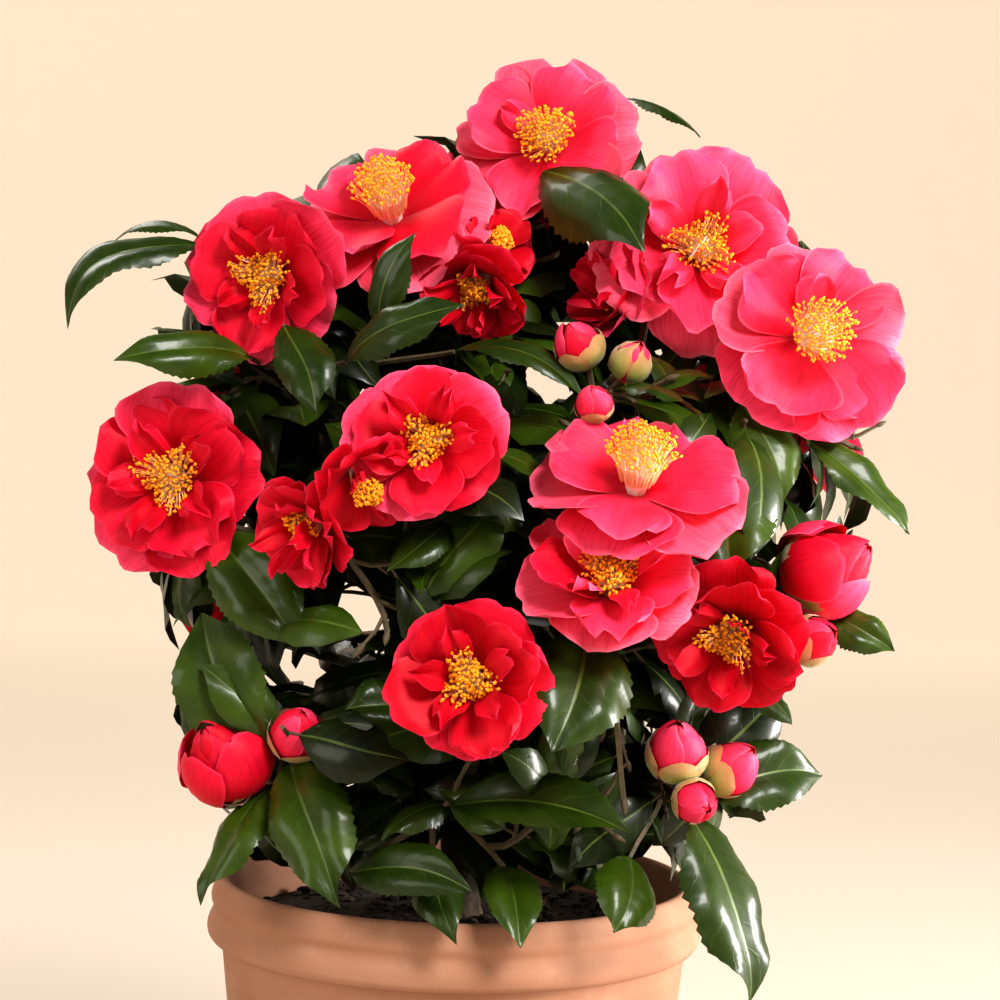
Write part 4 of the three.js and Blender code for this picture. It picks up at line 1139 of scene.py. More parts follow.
def leafPoints(pattern, blade, chance):
    along = blade["to"] - blade["from"]
    length = np.linalg.norm(along)
    along = along / length
    side = unit(np.cross(blade["up"], along))
    top = np.cross(along, side)
    x, y, z = pattern["corners"].T
    edge = np.abs(pattern["across"])
    across = x * blade["width"]
    fold = between(leafForm["fold"], chance.random())
    recurve = between(leafForm["recurve"], chance.random())
    wave = between(leafForm["wave"], chance.random()) * blade["width"]
    waves = between(leafForm["waves"], chance.random()) * 2 * math.pi
    phase = chance.random(2) * 6
    arch = between(leafForm["arch"], chance.random()) * length * np.sin(math.pi * y ** 0.9)
    sway = (leafForm["sway"] * (chance.random() * 2 - 1) + blade.get("sway", 0)) * length
    sway = sway * np.sin(math.pi * y ** 1.5)
    twist = leafForm["twist"] * (chance.random() * 2 - 1) * (y - 0.2)
    lift = np.abs(across) * (fold * 2 - recurve * 2 * edge * np.abs(x) * 2)
    swing = np.sin(waves * y + np.where(x > 0, phase[0], phase[1]))
    lift += wave * edge ** 2 * swing * np.minimum(1, y * 3)
    pads = np.cos(leafForm["pads"] * 2 * math.pi * (y - 0.2 * edge))
    lift -= leafForm["quilt"] * blade["width"] * pads * np.sin(math.pi * edge)
    drop = leafForm["tipDrop"] * length * np.maximum(0, y - 0.75) ** 2 * 6 * chance.random()
    lift += z * leaf["thickness"] / 2
    flat = across * np.cos(twist) - lift * np.sin(twist) + sway
    high = across * np.sin(twist) + lift * np.cos(twist) + arch - drop
    return blade["from"] + np.outer(y * length, along) + np.outer(flat, side) + np.outer(high, top)


def leavesOf(mass, bag, stalks, chance):
    for blade in mass["blades"]:
        tint = chance.random()
        green = 1 + int(tint * 1.6) if blade["fine"] else int(tint * 2.5)
        finish = (green, 4, 3)
        if blade["fine"]:
            addCopy(bag, patterns["fineLeaf"], leafPoints(patterns["fineLeaf"], blade, chance), tint, finish)
            continue
        along = unit(blade["to"] - blade["from"])
        start = blade["from"] + along * leaf["stalk"]
        stalks.append((course([blade["from"] - along * 0.8, start + along * 2], 2), leaf["stalkRadius"],
                       leaf["stalkRadius"] * 0.8))
        shorter = {**blade, "from": start}
        addCopy(bag, patterns["leaf"], leafPoints(patterns["leaf"], shorter, chance), tint, finish)


# Blossoms: whorls of petals round a brush of stamens, on a cup of scales

blossom = {
    "whorls": [
        {"count": count, "share": share, "width": width, "start": start, "end": end, "lift": lift,
         "wave": wave, "roll": roll}
        for count, share, width, start, end, lift, wave, roll in (
            (5, 1.0, 1.10, 44, -10, 0.0, 0.055, 9),
            (4, 0.88, 1.06, 54, 10, 1.4, 0.07, 8),
            (3, 0.56, 0.72, 70, 34, 2.6, 0.09, 5),
        )],
    "closing": 62, "base": 3.5, "cup": (0.06, 0.24), "waves": (1.2, 2.6), "curl": (-0.03, 0.13),
    "fold": (-0.05, 0.13), "sideRoll": (0.0, 0.30), "thickness": 0.45, "longest": 1.3,
    "fitted": 24, "spin": 0.2, "scales": 7,
}

# Stamens: threads with an anther each, that part from the rim of a short tube. Heights and radii are
# those of a blossom of the radius `grown`.
brush = {
    "grown": 47, "count": 190, "fewest": 0.5, "spread": 0.33, "shutSpread": 0.7, "foot": 3, "phases": 6,
    "tubeFoot": 4.2, "tubeTop": 7.4, "tubeSlim": 0.75, "tubeShare": 0.5, "tubeFlare": 1.4,
    "ridges": 7, "ridge": 0.06,
    # Where the tips are
    "turnSpread": 0.3, "lobes": 3, "ragged": 0.10, "top": 1, "dome": 6.5, "domePower": 2.4, "lobeRise": 12,
    "uneven": 1.8,
    # How far out on the tube's rim a thread springs: least, growth and most, then how it leaves
    "rim": (0.3, 0.75, 1.02), "start": 0.85, "startHeight": 0.45, "knee": 1.12, "kneeHeight": 0.35,
    "filament": 0.34,
    "anther": (0.85, 0.85, 1.4), "antherSizes": (0.85, 0.3), "antherRise": 0.4, "antherTurn": 3,
}

# How a blossom holds its petals: how steeply they start, how flat they end, how many small petals stand
# round the stamens, how far the stamens rise and part into lobes, and how far it shuts where it isn't open
habits = {
    "open": {"steep": 0.85, "flat": -6, "crest": 1, "rise": 2, "lobes": 0.08, "shut": 1, "tube": 1},
    "saucer": {"steep": 0.5, "flat": -6, "crest": 1, "rise": 6, "lobes": 0.05, "shut": 1, "tube": 1.35},
    "full": {"steep": 1.0, "flat": 6, "crest": 5, "rise": 1, "lobes": 0.28, "shut": 1, "tube": 1},
    "peeking": {"steep": 0.9, "flat": 4, "crest": 2, "rise": 3, "lobes": 0.1, "shut": 0.35, "tube": 0.9},
}


# One petal, in the blossom's own space: it leaves the axis steeply and bends outwards
def petalPoints(pattern, form):
    x, y, z = pattern["corners"].T
    u = pattern["across"]
    share = np.linspace(0, 1, blossom["fitted"] + 1)
    lean = np.radians(form["start"] + (form["end"] - form["start"]) * share ** 0.75)
    rate = np.mean(np.cos(lean))
    length = min((form["reach"] - form["base"]) / max(rate, 0.05), form["longest"])
    step = length / blossom["fitted"]
    out = form["base"] + np.concatenate([[0], np.cumsum(np.cos(lean[1:]) * step)])
    high = form["lift"] + np.concatenate([[0], np.cumsum(np.sin(lean[1:]) * step)])
    at = np.interp(y, share, out)
    rise = np.interp(y, share, high)
    tilt = np.interp(y, share, lean)
    across = x * form["width"]
    rim = np.maximum(np.abs(u), np.clip((y - 0.5) * 2, 0, 1))
    bulge = form["cup"] * across ** 2 / (form["width"] / 2)
    bulge += math.tan(math.radians(form["roll"])) * across * np.minimum(1, y * 1.6)
    bulge += form["wave"] * np.sin(form["waves"] * math.pi * u + form["phase"]) * y ** 2 * (0.35 + 0.65 * rim)
    bulge += form["wave"] * 0.4 * np.sin(form["waves"] * 2.3 * math.pi * u - form["phase"] * 2) * y ** 3 * rim
    bulge += form["fold"] * np.abs(across) * y
    bulge += form["sideRoll"] * form["width"] * np.maximum(0, u * form["side"]) ** 2 * y
    bulge -= form["curl"] * np.clip((rim - 0.7) / 0.3, 0, 1) ** 2 * y
    bulge -= 0.035 * form["width"] * np.exp(-(u / 0.18) ** 2) * y
    bulge += z * blossom["thickness"] / 2
    radial = at - np.sin(tilt) * bulge
    upward = rise + np.cos(tilt) * bulge
    cosTurn, sinTurn = math.cos(form["turn"]), math.sin(form["turn"])
    return np.stack([radial * cosTurn - across * sinTurn, radial * sinTurn + across * cosTurn, upward], 1)


def inWorld(points, head, basis):
    return head["at"] + points @ basis


def petalsOf(head, basis, bag, chance):
    radius = head["radius"]
    habit = habits[head["habit"]]
    closing = (1 - head["open"]) * habit["shut"]
    turn = head["turn"]
    for number, whorl in enumerate(blossom["whorls"]):
        count = habit["crest"] if number == 2 else whorl["count"]
        pattern = patterns["crest" if number == 2 else "petal"]
        for k in range(count):
            jitter = chance.uniform(-1, 1, 6)
            reach = radius * whorl["share"] * (1 + 0.08 * jitter[0])
            # Inner whorls take a deeper tone, a painted shade deeper in the blossom; a few petals are one
            # tone deeper at random
            tone = min(head["tone"] + (number + 1) // 2 + (1 if jitter[2] > 0.6 else 0), heart)
            form = {
                "base": blossom["base"], "reach": reach, "longest": blossom["longest"] * radius,
                "width": radius * whorl["share"] * whorl["width"] * (1.04 + 0.10 * jitter[1]),
                "start": whorl["start"] * habit["steep"] + closing * 14 + 4 * jitter[2],
                "end": whorl["end"] + habit["flat"] + closing * blossom["closing"] + 10 * jitter[3],
                "lift": 2 - head["depth"] + whorl["lift"],
                "cup": between(blossom["cup"], chance.random()),
                "fold": between(blossom["fold"], chance.random()),
                "sideRoll": between(blossom["sideRoll"], chance.random() ** 2) * (0.5 + 0.5 * number),
                "side": 1 if jitter[5] > 0 else -1,
                "roll": whorl["roll"], "wave": whorl["wave"] * radius * (1 + 0.5 * jitter[4]),
                "waves": between(blossom["waves"], chance.random()), "phase": chance.random() * 6,
                "curl": between(blossom["curl"], chance.random()) * radius,
                "turn": turn + 2 * math.pi * (k + 0.14 * jitter[5]) / count,
            }
            points = petalPoints(pattern, form)
            addCopy(bag, pattern, inWorld(points, head, basis), chance.random(), (tone, tone, tone))
        turn += math.pi / whorl["count"] + blossom["spin"]


# A slim piece bent along three points, wide as `radius`
def bentPoints(pattern, a, b, c, radius):
    x, y, z = pattern["corners"].T
    share = z[:, None]
    middle = a * (1 - share) ** 2 + b * 2 * share * (1 - share) + c * share ** 2
    basis = basisOf(unit(c - a))
    return middle + np.outer(x * radius, basis[0]) + np.outer(y * radius, basis[1])


def tubePoints(foot, height, wide):
    x, y, z = patterns["tube"]["corners"].T
    swell = between((brush["tubeFoot"], wide), z ** brush["tubeFlare"])
    swell = swell * (1 + brush["ridge"] * np.sin(brush["ridges"] * np.arctan2(y, x)))
    return np.stack([x * swell, y * swell, foot - brush["foot"] + z * (height + brush["foot"])], 1)


def stamensOf(head, basis, bag, chance):
    scale = head["radius"] / brush["grown"]
    foot = brush["foot"] - head["depth"]
    habit = habits[head["habit"]]
    rise = habit["rise"] * scale
    phase = chance.random() * brush["phases"]
    count = int(brush["count"] * min(1, between((brush["fewest"], 1), scale)))
    spread = brush["spread"] * head["radius"] * between((brush["shutSpread"], 1), head["open"])
    tubeHeight = brush["tubeShare"] * (head["depth"] + rise)
    wide = brush["tubeTop"] * habit["tube"] * between((brush["tubeSlim"], 1), scale)
    points = tubePoints(foot, tubeHeight, wide)
    addCopy(bag, patterns["tube"], inWorld(points, head, basis), 0.5, (2, 2, 2))
    inner, growth, outer = brush["rim"]
    least, more = brush["antherSizes"]
    for i in range(count):
        ring = math.sqrt((i + 0.5) / count)
        turn = leaf["turn"] * i + brush["turnSpread"] * chance.random()
        outward = vec((math.cos(turn), math.sin(turn), 0))
        lobe = habit["lobes"] * math.cos(brush["lobes"] * turn + phase)
        tip = outward * spread * ring * (1 + lobe + brush["ragged"] * chance.uniform(-1, 1))
        tip[2] = rise + brush["top"] - brush["dome"] * scale * ring ** brush["domePower"]
        tip[2] += brush["lobeRise"] * lobe * ring + brush["uneven"] * chance.uniform(-1, 1)
        rim = outward * wide * min(outer, inner + growth * ring)
        start = rim * brush["start"] + vec((0, 0, foot + tubeHeight * brush["startHeight"]))
        over = brush["kneeHeight"] * (tip[2] - foot - tubeHeight)
        knee = rim * brush["knee"] + vec((0, 0, foot + tubeHeight + over))
        points = bentPoints(patterns["filament"], start, knee, tip, brush["filament"])
        addCopy(bag, patterns["filament"], inWorld(points, head, basis), 0.5, (1, 1, 1))
        facing = unit(chance.uniform(-1, 1, 3) + vec((0, 0, brush["antherRise"])))
        grain = basisOf(facing, chance.random() * brush["antherTurn"])
        size = vec(brush["anther"]) * (least + more * chance.random())
        points = (patterns["anther"]["corners"] * size) @ grain + tip
        addCopy(bag, patterns["anther"], inWorld(points, head, basis), chance.random())


# A patch of a bud's egg: between two shares of its height, wrapped part of the way round
def eggPoints(pattern, head, form):
    radius = head["radius"]
    _, y, z = pattern["corners"].T
    u = pattern["across"]
    places, halves = form["profile"]
    share = form["from"] + (form["to"] - form["from"]) * y
    out = np.interp(share, places, halves) * radius * form["layer"]
    narrow = 0.6 + 0.4 * np.sin(math.pi * np.clip(y * 0.8, 0, 1))
    azimuth = form["turn"] + u * form["wrap"] / 2 * narrow + form["spiral"] * y
    out = out + radius * form["lift"] * (u + 0.6) * np.minimum(1, out / (0.4 * radius)) + form["step"]
    out = out + form["flare"] * radius * y ** 4 + z * blossom["thickness"] / 2
    height = bud["foot"] * radius + share * bud["height"] * radius * form["tall"]
    height = height - form["dip"] * radius * np.abs(u) ** 2 * y ** 2
    return np.stack([out * np.cos(azimuth), out * np.sin(azimuth), height], 1)


def scalesOf(head, basis, bag, chance):
    radius = head["radius"]
    pattern = patterns["scale"]
    for k in range(blossom["scales"]):
        if head["kind"] == "bud":
            points = eggPoints(pattern, head, {
                "from": 0.0, "to": head["sheath"] * (0.75 + 0.4 * chance.random()), "layer": 1.07,
                "lift": 0.02, "profile": bud["profile"], "turn": leaf["turn"] * k, "wrap": 1.5, "spiral": 0,
                "step": 0.4, "flare": 0, "tall": 1, "dip": 0.3,
            })
        else:
            steep = habits[head["habit"]]["steep"]
            points = petalPoints(pattern, {
                "base": 1.2, "reach": 0.26 * radius, "longest": 0.4 * radius * (0.8 + 0.25 * chance.random()),
                "width": 0.42 * radius, "start": 8 * steep, "end": 44 * steep - 8,
                "lift": 0.35 * (k % 3) - head["depth"] - 1, "cup": 0.3, "roll": 5, "wave": 0, "waves": 1,
                "phase": 0, "curl": 0, "fold": 0, "sideRoll": 0, "side": 1, "turn": leaf["turn"] * k,
            })
        addCopy(bag, pattern, inWorld(points, head, basis), chance.random())


# Buds: petals wrapped round one another, each a little further out on one side. Half-open ones have
# loose petals folded over a closed heart.

bud = {
    "petals": 4, "wrap": 2.5, "foot": -1.2, "height": 2.35,
    "profile": ((0, 0.06, 0.14, 0.3, 0.5, 0.7, 0.86, 0.95, 1),
                (0.25, 0.55, 0.8, 0.98, 1, 0.83, 0.52, 0.26, 0.02)),
    "loose": ((0, 0.12, 0.3, 0.5, 0.7, 0.88, 1), (0.3, 0.74, 1.02, 1.12, 1.05, 0.84, 0.6)),
    # Layers of petals, from the heart outwards: how wide, of which profile and how tall
    "shutLayers": ((0.86, "profile", 1.0),),
    "openLayers": ((0.72, "profile", 1.0), (0.86, "profile", 0.97), (0.98, "loose", 0.86)),
    "heart": 0.8, "openHeart": 0.66, "heartHeight": 0.94,
}


def wrappedOf(head, basis, bag, chance):
    pattern = patterns["petal"]
    radius = head["radius"]
    core = patterns["core"]
    inner = bud["openHeart"] if head["open"] else bud["heart"]
    size = vec((radius * inner, radius * inner, bud["height"] * radius * bud["heartHeight"]))
    points = core["corners"] * size + vec((0, 0, bud["foot"] * radius))
    # The closed heart takes the darkest tone, a painted shade inside the bud
    addCopy(bag, core, inWorld(points, head, basis), 0.5, (heart, heart, heart))
    for number, (layer, profile, tall) in enumerate(bud["openLayers"] if head["open"] else bud["shutLayers"]):
        isLoose = profile == "loose"
        for k in range(bud["petals"] + (1 if isLoose else 0)):
            form = {
                "from": 0.0, "to": 1.0, "layer": layer,
                "lift": 0.11 if isLoose else 0.07, "profile": bud[profile],
                "turn": 2 * math.pi * (k + 0.3 * number) / bud["petals"] + 0.3 * chance.random(),
                "wrap": bud["wrap"] * (0.8 if isLoose else 1), "spiral": 0.5, "step": 0.35 * k,
                "flare": 0.07 * chance.random() if isLoose else 0,
                "tall": tall * (1 + 0.05 * chance.uniform(-1, 1)),
                "dip": 0.34 if isLoose else 0.24,
            }
            # Some petals are one tone deeper at random; the inner layers of a half-open bud are one deeper
            # again, a painted shade under its loose petals
            tone = head["tone"] + (1 if chance.random() > 0.7 else 0)
            tone += 0 if isLoose or not head["open"] else 1
            points = eggPoints(pattern, head, form)
            addCopy(bag, pattern, inWorld(points, head, basis), chance.random(), (tone, tone, tone))


leafBud = {"size": (1.7, 1.7, 8), "scales": (0.8, 1.2), "sunk": 1.2}


def leafBudOf(tip, way, bag, chance):
    basis = basisOf(way, chance.random() * 3)
    size = vec(leafBud["size"]) * between(leafBud["scales"], chance.random())
    points = patterns["bud"]["corners"] * size @ basis + tip - way * leafBud["sunk"]
    addCopy(bag, patterns["bud"], points, chance.random(), (1, 1, 1))


# Limbs: round stems along a course, each ring as wide as its radius

def limbsPiece(name, rows, form, material, nodes):
    data = bpy.data.curves.new(name, "CURVE")
    data.dimensions = "3D"
    data.bevel_depth = mm
    data.bevel_resolution = form["rounds"]
    data.use_fill_caps = True
    for points, radii in rows:
        spline = data.splines.new("POLY")
        spline.points.add(len(points) - 1)
        spline.points.foreach_set("co", np.column_stack([points * mm, np.ones(len(points))]).ravel())
        spline.points.foreach_set("radius", radii)
    piece = bpy.data.objects.new(name, data)
    bpy.context.scene.collection.objects.link(piece)
    onlySelect(piece)
    bpy.ops.object.convert(target="MESH")
    piece = bpy.context.object
    relief = form.get("relief")
    if relief:
        texture = bpy.data.textures.new(name + "Relief", "CLOUDS")
        texture.noise_scale = relief["grain"] * mm
        modifier = piece.modifiers.new("relief", "DISPLACE")
        modifier.texture = texture
        modifier.strength = relief["height"] * mm
        modifier.mid_level = 0.5
        bpy.ops.object.modifier_apply(modifier="relief")
    coat(piece, material, sharpBends["limbs"])
    finishPiece(piece, nodes)
    print(name, "has", len(piece.data.polygons), "faces")


def sampled(path, step):
    count = max(3, int(lengthOf(path) / step) + 1)
    shares = np.linspace(0, 1, count)
    return np.array([pointAt(path, share) for share in shares]), shares


def buildLimbs():
    points, shares = sampled(limbs["trunk"], trunk["step"])
    radii = between((trunk["radius"], trunk["tipRadius"]), shares)
    radii = radii + trunk["flare"] * np.exp(-shares / trunk["flareReach"])
    limbsPiece("trunk_bark", [(points, radii)], trunk, finishes["bark"], ["trunk"])
    rows = []
    for boughName, parentName, _, _ in boughRows:
        points, shares = sampled(limbs[boughName], bough["step"])
        foot = bough["mainRadius"] if parentName == "trunk" else bough["sideRadius"]
        rows.append((points, between((foot, bough["tipRadius"]), shares)))
    limbsPiece("boughs_bark", rows, bough, finishes["bark"], [row[0] for row in boughRows])


def buildTwigs(group, members, stalks):
    rows = []
    for mass in members:
        for path, footRadius, tipRadius in mass["twigs"]:
            points, shares = sampled(path, twig["step"])
            rows.append((points, between((footRadius, tipRadius), shares)))
    for path, footRadius, tipRadius in stalks:
        rows.append((path["points"], np.linspace(footRadius, tipRadius, len(path["points"]))))
    limbsPiece("twigs_" + group, rows, twig, finishes["twig"], [mass["name"] for mass in members])


dressSeed = 900

buildLimbs()
for groupNumber, group in enumerate(("upper", "middle", "lower", "back")):
    members = [mass for mass in masses if mass["group"] == group]
    nodes = [mass["name"] for mass in members]
    bags = {kind: newBag() for kind in ("leaves", "petals", "stamens", "scales")}
    stalks = []
    chance = np.random.default_rng(dressSeed + groupNumber)
    for mass in members:
        leavesOf(mass, bags["leaves"], stalks, chance)
        for tip, way in mass["shootTips"]:
            if not veils([tip, tip + way * leafBud["size"][2]]):
                leafBudOf(tip, way, bags["scales"], chance)
        for head in mass["heads"]:
            basis = basisOf(head["way"])
            scalesOf(head, basis, bags["scales"], chance)
            if head["kind"] == "bud":
                wrappedOf(head, basis, bags["petals"], chance)
            else:
                petalsOf(head, basis, bags["petals"], chance)
                stamensOf(head, basis, bags["stamens"], chance)
    buildTwigs(group, members, stalks)
    makePiece("leaves_" + group, bags["leaves"], finishes["leaves"], nodes)
    makePiece("petals_" + group, bags["petals"], finishes["petals"], nodes)
    makePiece("stamens_" + group, bags["stamens"],
              [finishes["anther"], finishes["filament"], finishes["tube"]], nodes,
              sharpBends["stamens"])
    makePiece("scales_" + group, bags["scales"], [finishes["scale"], finishes["twig"]], nodes)


# Pot: a profile spun round the upright axis

pot = {
    "footRadius": 97, "ledge": 205.5, "bodyRadius": 127, "swell": 10,
    "drainRadius": 6, "drainOffset": 52, "drainCount": 3, "drainSides": 24, "drillLength": 60, "steps": 120,
    # The underside is flat up to here, and rounds at these insets and heights
    "footFlat": 60, "footRound": ((3.4, 0), (1.2, 0.7)),
    "levels": (2.6, 6, 12, 22, 36, 52, 70, 90, 110, 130, 150, 168, 184, 196, 203),
    # Radius and height of the bands above the body
    "bands": [
        (127.2, 205.0), (128.4, 205.1), (131.0, 205.7), (133.0, 207.0), (134.4, 209.0), (134.9, 211.4),
        (134.8, 213.8), (134.0, 216.6), (132.7, 219.2), (131.8, 221.4), (131.6, 223.0), (132.0, 224.8),
        (132.8, 226.8), (133.0, 229.0), (132.4, 231.6), (131.2, 234.4), (130.0, 237.0), (129.0, 238.8),
        (127.8, 239.8), (126.6, 240.0),
    ],
    "inside": [
        (125.4, 239.8), (124.3, 239.0), (123.6, 237.6), (122.8, 233.0), (121.2, 228.0), (119.6, 222.0),
        (117.6, 208.0), (114.0, 182.0), (109.2, 150.0), (99.0, 90.0), (91.5, 40.0), (87.6, 21.0),
        (84.0, 15.2), (78.0, 14.0), (0.0, 14.0),
    ],
}


def bodyRadius(height):
    share = height / pot["ledge"]
    return pot["footRadius"] + (pot["bodyRadius"] - pot["footRadius"] + pot["swell"]) * share \
        - pot["swell"] * share * share


# A profile of radii and heights in metres, spun round the upright axis: a ring opened at one edge
def spunProfile(name, profile, steps):
    deselectAll()
    bpy.ops.mesh.primitive_circle_add(vertices=len(profile), radius=0.1)
    piece = bpy.context.object
    piece.name = name
    for corner, (radius, height) in zip(piece.data.vertices, profile):
        corner.co = (radius, 0, height)
    closing = {0, len(profile) - 1}
    bpy.ops.object.mode_set(mode="EDIT")
    bpy.ops.mesh.select_mode(type="EDGE")
    bpy.ops.object.mode_set(mode="OBJECT")
    for edge in piece.data.edges:
        edge.select = set(edge.vertices) == closing
    bpy.ops.object.mode_set(mode="EDIT")
    bpy.ops.mesh.delete(type="EDGE")
    bpy.ops.mesh.select_mode(type="VERT")
    bpy.ops.mesh.select_all(action="SELECT")
    bpy.ops.mesh.spin(steps=steps, angle=2 * math.pi, center=(0, 0, 0), axis=(0, 0, 1))
    bpy.ops.mesh.select_all(action="SELECT")
    bpy.ops.mesh.remove_doubles(threshold=0.00002)
    bpy.ops.mesh.normals_make_consistent(inside=False)
    bpy.ops.object.mode_set(mode="OBJECT")
    return piece


def buildPot():
    foot = [(bodyRadius(0) - inset, height) for inset, height in pot["footRound"]]
    body = [(bodyRadius(height), height) for height in pot["levels"]]
    outline = [(0, 0), (pot["footFlat"], 0), *foot, *body, *pot["bands"], *pot["inside"]]
    profile = [(radius * mm, height * mm) for radius, height in outline]
    piece = spunProfile("pot_terracotta", profile, pot["steps"])
    for k in range(pot["drainCount"]):
        turn = 2 * math.pi * k / pot["drainCount"]
        deselectAll()
        bpy.ops.mesh.primitive_cylinder_add(
            vertices=pot["drainSides"], radius=pot["drainRadius"] * mm, depth=pot["drillLength"] * mm,
            location=(pot["drainOffset"] * mm * math.cos(turn), pot["drainOffset"] * mm * math.sin(turn), 0))
        drill = bpy.context.object
        onlySelect(piece)
        cut = piece.modifiers.new("drain", "BOOLEAN")
        cut.operation = "DIFFERENCE"
        cut.object = drill
        cut.solver = "EXACT"
        bpy.ops.object.modifier_apply(modifier="drain")
        bpy.data.objects.remove(drill)
    coat(piece, finishes["terracotta"], sharpBends["pot"])
    finishPiece(piece, ["pot"])
    print("pot has", len(piece.data.polygons), "faces")


# Soil: rings drawn in from the wall, lumpy, with bark chips lying on it

soil = {
    "radius": 118.2, "top": 213.5, "middle": 219.6, "bottom": 180, "rings": 16, "sides": 72, "lump": 1.6,
    "moundPower": 1.5, "wallReach": 12, "leastMound": 0.2,
    "chips": 420, "chipSize": (2.0, 5.5), "chipWidth": (0.5, 0.9), "chipHeight": (0.25, 0.5), "chipTilt": 0.4,
    "chipRoughness": 0.25, "chipRise": 0.2, "wallGap": 6, "stemGap": 16, "seed": 77,
}


def soilHeight(x, y):
    out = np.hypot(x, y) / soil["radius"]
    lump = np.sin(x * 0.21 + 1.3 * np.sin(y * 0.13)) * np.cos(y * 0.19 - 0.7 * np.sin(x * 0.17))
    fine = np.sin(x * 0.55 + y * 0.31) * np.sin(y * 0.62 - x * 0.23)
    mound = soil["middle"] - (soil["middle"] - soil["top"]) * out ** soil["moundPower"]
    return mound + soil["lump"] * (lump + 0.5 * fine) * 0.6


def buildSoil():
    deselectAll()
    depth = (soil["top"] - soil["bottom"]) * mm
    bpy.ops.mesh.primitive_cylinder_add(vertices=soil["sides"], radius=soil["radius"] * mm, depth=depth,
                                        location=(0, 0, soil["bottom"] * mm + depth / 2))
    piece = bpy.context.object
    bpy.ops.object.transform_apply(location=True, rotation=True, scale=True)
    piece.name = "soil_surface"
    for face in piece.data.polygons:
        face.select = face.normal.z > 0.9
    bpy.ops.object.mode_set(mode="EDIT")
    bpy.ops.mesh.select_mode(type="FACE")
    for _ in range(soil["rings"]):
        bpy.ops.mesh.inset(thickness=soil["radius"] * mm / (soil["rings"] + 1))
    bpy.ops.mesh.poke()
    bpy.ops.object.mode_set(mode="OBJECT")
    for corner in piece.data.vertices:
        if corner.co.z > (soil["top"] - 5) * mm:
            x, y = corner.co.x / mm, corner.co.y / mm
            share = min(1, (soil["radius"] - math.hypot(x, y)) / soil["wallReach"])
            rise = (float(soilHeight(x, y)) - soil["top"]) * max(share, soil["leastMound"])
            corner.co.z = (soil["top"] + rise) * mm
    coat(piece, finishes["soil"], sharpBends["soil"])
    finishPiece(piece, ["soil"])


def buildChips():
    chance = np.random.default_rng(soil["seed"])
    bag = newBag()
    for _ in range(soil["chips"]):
        out = (soil["radius"] - soil["wallGap"]) * math.sqrt(chance.random())
        turn = chance.random() * 2 * math.pi
        x, y = out * math.cos(turn), out * math.sin(turn)
        if out < soil["stemGap"]:
            continue
        size = between(soil["chipSize"], chance.random() ** 2)
        wide, high = chance.uniform(*soil["chipWidth"]), chance.uniform(*soil["chipHeight"])
        form = vec((size, size * wide, size * high))
        upright = unit(vec((0, 0, 1)) + chance.uniform(-soil["chipTilt"], soil["chipTilt"], 3))
        basis = basisOf(upright, chance.random() * 6)
        ragged = patterns["anther"]["corners"] * (1 + soil["chipRoughness"] * chance.uniform(-1, 1, (12, 1)))
        points = ragged * form @ basis + vec((x, y, float(soilHeight(x, y)) + soil["chipRise"] * size))
        addCopy(bag, patterns["anther"], points, chance.random())
    makePiece("soil_chips", bag, [finishes["crumb"]], ["soil"], sharpBends["chips"])


buildPot()
buildSoil()
buildChips()


# Camera, light and floor

view = {"place": (0.0188, -1.4, 0.515), "pitch": 2.8, "roll": 1.6, "lens": 92.48, "sensor": 36}


# Stands a camera or a lamp at a place, with its back to the direction given last
def aimed(thing, place, side, up, back):
    thing.matrix_world = Matrix([*np.column_stack([side, up, back, place]).tolist(), (0, 0, 0, 1)])


def buildCamera():
    bpy.ops.object.camera_add()
    camera = bpy.context.object
    pitch, roll = math.radians(view["pitch"]), math.radians(view["roll"])
    forward = vec((0, math.cos(pitch), -math.sin(pitch)))
    upright = vec((0, math.sin(pitch), math.cos(pitch)))
    level = vec((1, 0, 0))
    right = level * math.cos(roll) + upright * math.sin(roll)
    up = upright * math.cos(roll) - level * math.sin(roll)
    aimed(camera, view["place"], right, up, -forward)
    camera.data.lens = view["lens"]
    camera.data.sensor_width = view["sensor"]
    bpy.context.scene.camera = camera


stage = {
    "rings": (0, 1, 2.5), "flat": 3.6, "bend": 2.2, "bendSteps": 13, "wall": 3, "drop": 0.0002, "steps": 72,
    "floor": (0.50, 0.45, 0.385), "glow": (1, 0.82, 0.63), "glowNear": 0.12, "glowFar": 0.56,
    "sky": (1.0, 0.975, 0.945), "skyStrength": 0.09,
}

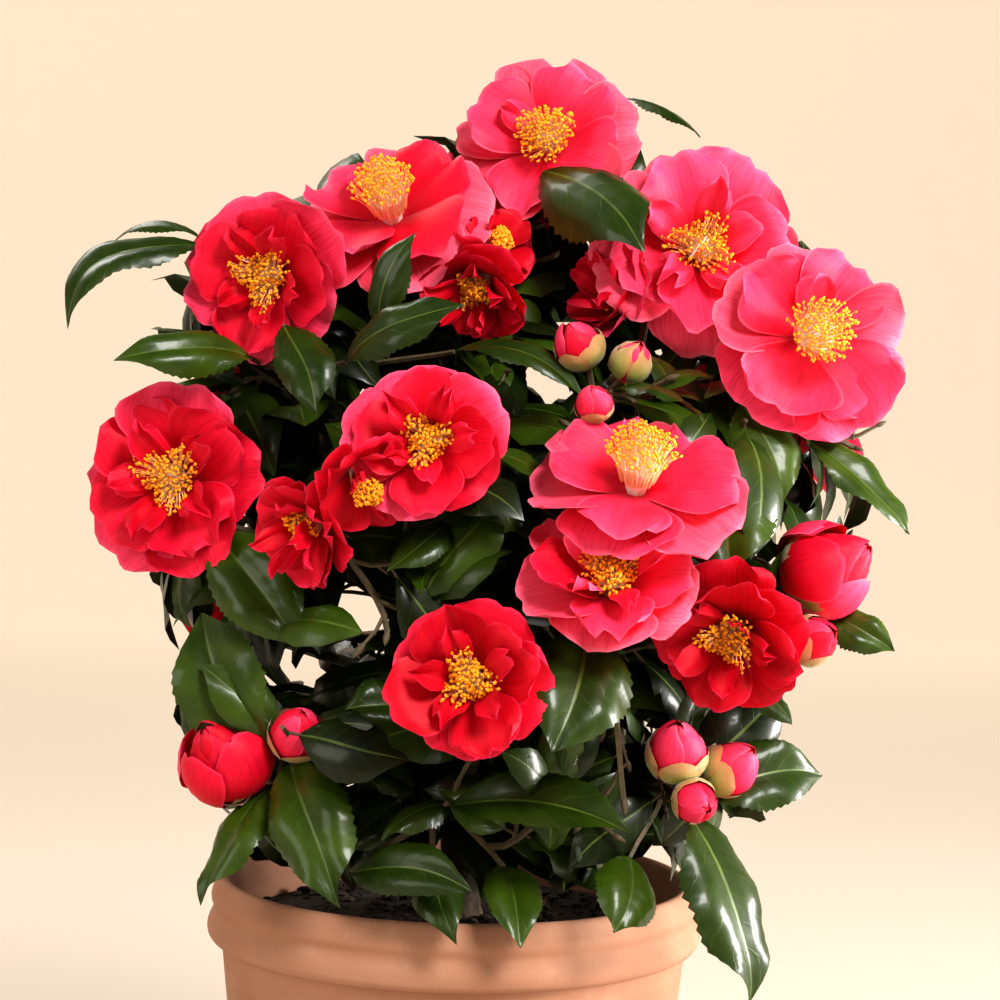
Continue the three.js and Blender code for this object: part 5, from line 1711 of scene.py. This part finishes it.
lights = [
    # Place, aim, size, power, colour
    ((0.9, -1.5, 1.9), (0, 0, 0.45), 0.7, 56, (1.0, 0.98, 0.95)),
    ((-1.6, -1.2, 1.1), (0, 0, 0.4), 1.2, 15, (1.0, 0.96, 0.92)),
    ((1.7, -0.1, 0.5), (0, 0, 0.25), 0.6, 56, (1.0, 0.98, 0.95)),
    ((-0.9, 1.0, 1.9), (0, 0, 0.55), 0.8, 15, (1.0, 0.98, 0.95)),
]


def buildLights():
    for place, aim, size, power, color in lights:
        bpy.ops.object.light_add(type="AREA", location=place)
        lamp = bpy.context.object
        away = unit(vec(place) - vec(aim))
        side = unit(np.cross(vec((0, 0, 1)), away))
        aimed(lamp, place, side, np.cross(away, side), away)
        lamp.data.size = size
        lamp.data.energy = power
        lamp.data.color = color
    world = bpy.data.worlds.new("studio")
    world.use_nodes = True
    background = world.node_tree.nodes["Background"]
    background.inputs["Color"].default_value = (*stage["sky"], 1)
    background.inputs["Strength"].default_value = stage["skyStrength"]
    bpy.context.scene.world = world
    bpy.context.scene.view_settings.view_transform = "Standard"
    bpy.context.scene.view_settings.look = "Medium High Contrast"


# The floor rises into a round wall, so that no edge shows from any side
def buildFloor():
    bend = [(stage["flat"] + stage["bend"] * math.sin(turn), stage["bend"] * (1 - math.cos(turn)))
            for turn in np.linspace(0, math.pi / 2, stage["bendSteps"])]
    wall = (stage["flat"] + stage["bend"], stage["bend"] + stage["wall"])
    outline = [*[(radius, 0) for radius in stage["rings"]], *bend, wall]
    profile = [(radius, height - stage["drop"]) for radius, height in outline]
    sweep = spunProfile("floor", profile, stage["steps"])
    material, tree = newMaterial("floorPale", Base_Color=stage["floor"], Roughness=0.85,
                                 Emission_Color=stage["glow"])
    split = addNode(tree, "ShaderNodeSeparateXYZ", None, {0: objectPlace(tree)})
    depth = mathOf(tree, "MULTIPLY", mathOf(tree, "ADD", split.outputs["Y"], 0.5), 0.25)
    glow = rampOf(tree, depth, [(0.0, stage["glowNear"]), (1.0, stage["glowFar"])])
    plug(tree, tree.nodes["Principled BSDF"].inputs["Emission Strength"], glow)
    material.cycles.emission_sampling = "NONE"  # the glow is faint and even, so it isn't sought as a lamp
    sweep.data.materials.append(material)
    bpy.ops.object.shade_smooth()


buildCamera()
buildLights()
buildFloor()
print("camera, lights and floor set")
